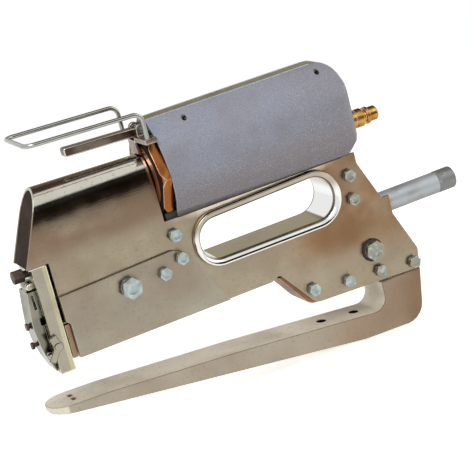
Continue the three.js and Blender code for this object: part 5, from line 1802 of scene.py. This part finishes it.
@dataclass
class Fasteners:
    """All hexagon bolts, on both sides."""

    small: tuple[BoltPlace, ...] = (
        BoltPlace("cover_bolt_front", 70.0, 33.6, COVER_FACE, 8),
        BoltPlace("cover_bolt_rear", 84.0, 39.8, COVER_FACE, 20),
        BoltPlace("hood_bolt", 84.0, 55.4, PLATE_FACE, 2),
        BoltPlace("grip_bolt_lower", 215.6, 35.4, PLATE_FACE, 26),
        BoltPlace("grip_bolt_upper", 216.3, 52.3, PLATE_FACE, 12),
        BoltPlace("tail_bolt_front", 171.1, -15.3, PLATE_FACE, 5),
        BoltPlace("tail_bolt_middle", 198.2, -18.9, PLATE_FACE, 17),
        BoltPlace("tail_bolt_rear", 223.5, -20.3, PLATE_FACE, 0),
        BoltPlace("heel_bolt", 249.9, -23.3, PLATE_FACE, 10),
    )
    large: tuple[BoltPlace, ...] = (
        BoltPlace("crank_bolt", 44.7, 33.3, COVER_FACE, 18),
        BoltPlace("arm_bolt", 221.4, -4.4, PLATE_FACE, 12),
    )

    def build(self) -> None:
        """Build the two sizes of bolt."""
        HexBolts("small_bolts", across=8.0, head=3.1, shank=5.0, places=self.small).build()
        HexBolts("large_bolts", across=13.0, head=4.8, shank=8.0, places=self.large, washer=0.5, dish=0.25).build()


@dataclass(frozen=True)
class PhotoView:
    """The camera at the photograph's viewing angle."""

    place: Triple = (-0.41713, -1.04496, 0.31656)
    turn: float = 20.825
    dip: float = 16.244
    roll: float = 14.502
    lens: float = 131.23
    sensor: float = 36.0
    far: float = 50.0

    def build(self) -> None:
        """Set up the camera."""
        turn, dip, roll = (math.radians(angle) for angle in (self.turn, self.dip, self.roll))
        level = Vector((math.cos(turn), -math.sin(turn), 0))
        ahead = Vector((math.sin(turn) * math.cos(dip), math.cos(turn) * math.cos(dip), -math.sin(dip)))
        upright = level.cross(ahead)
        right = level * math.cos(roll) - upright * math.sin(roll)
        upward = level * math.sin(roll) + upright * math.cos(roll)
        lens = bpy.data.cameras.new("photo_view")
        lens.lens = self.lens
        lens.sensor_width = self.sensor
        lens.clip_end = self.far
        camera = linked("photo_view", lens)
        axes = Matrix((right, upward, -ahead)).transposed().to_4x4()
        camera.matrix_world = Matrix.Translation(Vector(self.place)) @ axes
        bpy.context.scene.camera = camera


@dataclass
class Studio:
    """A plain pale floor, soft lamps, and a room that polished metal can mirror."""

    floor_gap: float = 0.0004
    floor_radius: float = 0.85
    floor_glow: float = 0.64
    floor_shine: float = 0.5
    floor_sides: int = 64
    day: float = 0.47
    dark: Colour = srgb(34, 32, 28)
    warm: Colour = srgb(162, 153, 130)
    brown: Colour = srgb(84, 60, 55)
    pale: Colour = srgb(232, 232, 230)
    side_start: Place = (0.08, 0.18)
    side_end: Place = (0.7, 0.52)
    near: Place = (-0.2, -0.4)
    near_levels: tuple[float, ...] = (-0.24, -0.16, 0.42, 0.52)
    far: Place = (-0.2, 0.0)
    far_levels: tuple[float, ...] = (0.02, 0.1, 1.2, 1.3)
    browning: Place = (0.32, 0.66)

    def build(self, low: float) -> None:
        """Set up the world, the floor and the lamps.

        Args:
            low: The height of the part's lowest point.
        """
        self.room()
        self.floor(low - self.floor_gap)
        self.lamp("key", (-0.55, -0.95, 1.15), 0.9, 9.75)
        self.lamp("fill", (1.1, -0.7, 0.7), 1.1, 3.0)
        self.lamp("back", (0.1, 0.8, 1.5), 1.1, 4.2).visible_glossy = False
        bpy.context.scene.view_settings.view_transform = "Standard"

    def room(self) -> None:
        """Make the world: white to the eye, and to polished metal a white room with a dark side."""
        world = bpy.data.worlds.new("studio")
        world.use_nodes = True
        bpy.context.scene.world = world
        book = NodeBook(world.node_tree)
        book.tree.nodes.clear()
        way = book.add("ShaderNodeTexCoord").outputs["Generated"]
        x, y, z = book.add("ShaderNodeSeparateXYZ", inputs={0: way}).outputs
        right = book.sum("MULTIPLY", book.step(x, *self.side_start), book.step(x, *self.side_end))
        near = self.patch(book, right, book.step(y, *self.near), z, self.near_levels)
        far = self.patch(book, right, book.step(y, *self.far), z, self.far_levels)
        warm = book.blend(far, WHITE, book.blend(book.step(z, *self.browning), self.warm, self.brown))
        mirrored = book.blend(near, warm, self.dark)
        plain = book.blend(self.seen_by(book, "Camera"), (self.day,) * 3, WHITE)
        seen = book.blend(self.mirrored_by(book), plain, mirrored)
        shader = book.add("ShaderNodeBackground", inputs={"Color": seen, "Strength": 1.0})
        book.add("ShaderNodeOutputWorld", inputs={0: shader.outputs[0]})

    @staticmethod
    def patch(book: NodeBook, wide: Value, deep: Value, z: Value, levels: tuple[float, ...]) -> Socket:
        """Limit a patch of the room from below and above.

        Args:
            book: The world's tree.
            wide: The share across.
            deep: The share towards one side.
            z: The upward part of the direction.
            levels: Where the patch starts and is full below, then where it is full and ends above.

        Returns:
            The patch's share.
        """
        start, full, still, end = levels
        upright = book.sum("MULTIPLY", book.step(z, start, full), book.step(z, end, still))
        return book.sum("MULTIPLY", upright, book.sum("MULTIPLY", wide, deep))

    @staticmethod
    def seen_by(book: NodeBook, ray: str) -> Socket:
        """Give 1 to rays of one kind."""
        return book.add("ShaderNodeLightPath").outputs[f"Is {ray} Ray"]

    def mirrored_by(self, book: NodeBook) -> Socket:
        """Give 1 to the rays that a mirror or a glass sends on."""
        return book.sum("MAXIMUM", self.seen_by(book, "Glossy"), self.seen_by(book, "Transmission"))

    def floor(self, height: float) -> None:
        """Lay the floor, pale enough to render white and still take a faint shadow.

        Args:
            height: The floor's height.
        """
        mesh = bpy.data.meshes.new("floor")
        with edited(mesh) as work:
            bmesh.ops.create_circle(work, cap_ends=True, segments=self.floor_sides, radius=self.floor_radius)
            bmesh.ops.translate(work, verts=work.verts, vec=(0, 0, height))
        material = bpy.data.materials.new("pale_floor")
        material.use_nodes = True
        book = NodeBook(material.node_tree)
        book.tree.nodes.clear()
        paint = book.add("ShaderNodeBsdfDiffuse", inputs={"Color": self.pale})
        shiny = book.sum("MULTIPLY", self.mirrored_by(book), self.floor_shine)
        seen = book.sum("MAXIMUM", book.sum("MULTIPLY", self.seen_by(book, "Camera"), self.floor_glow), shiny)
        glow = book.add("ShaderNodeEmission", inputs={"Color": WHITE, "Strength": seen})
        both = book.add("ShaderNodeAddShader", inputs={0: paint.outputs[0], 1: glow.outputs[0]})
        book.add("ShaderNodeOutputMaterial", inputs={0: both.outputs[0]})
        mesh.materials.append(material)
        linked("floor", mesh)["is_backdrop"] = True

    @staticmethod
    def lamp(name: str, place: Triple, size: float, power: float) -> Piece:
        """Hang a square lamp that faces the part.

        Args:
            name: The lamp's name.
            place: Where it hangs, in metres.
            size: Its side.
            power: Its power in watts.

        Returns:
            The lamp.
        """
        light = bpy.data.lights.new(name, "AREA")
        light.size = size
        light.energy = power
        lamp = linked(name, light)
        facing = (-Vector(place)).to_track_quat("-Z", "Y").to_matrix().to_4x4()
        lamp.matrix_world = Matrix.Translation(Vector(place)) @ facing
        return lamp


def plain(box: Sequence[Sequence[float]]) -> list[list[float]]:
    """Give a box as plain lists of numbers."""
    return [[float(value) for value in corner] for corner in box]


def main() -> None:
    """Build the camera, the studio and every sub-assembly."""
    logging.basicConfig(level=logging.INFO, format="%(message)s")
    cad_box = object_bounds()
    PhotoView().build()
    Studio().build(min(corner[2] for corner in cad_box))
    assemblies = (
        SheetBody(),
        SlotLiner(),
        GripHousing(),
        AirParts(),
        TriggerGroup(),
        NoseGroup(),
        Magazine(),
        CrankDrive(),
        AnvilArm(),
        Fasteners(),
    )
    for assembly in assemblies:
        assembly.build()
        log.info("built %s", type(assembly).__name__)


if __name__ == "__main__":
    main()
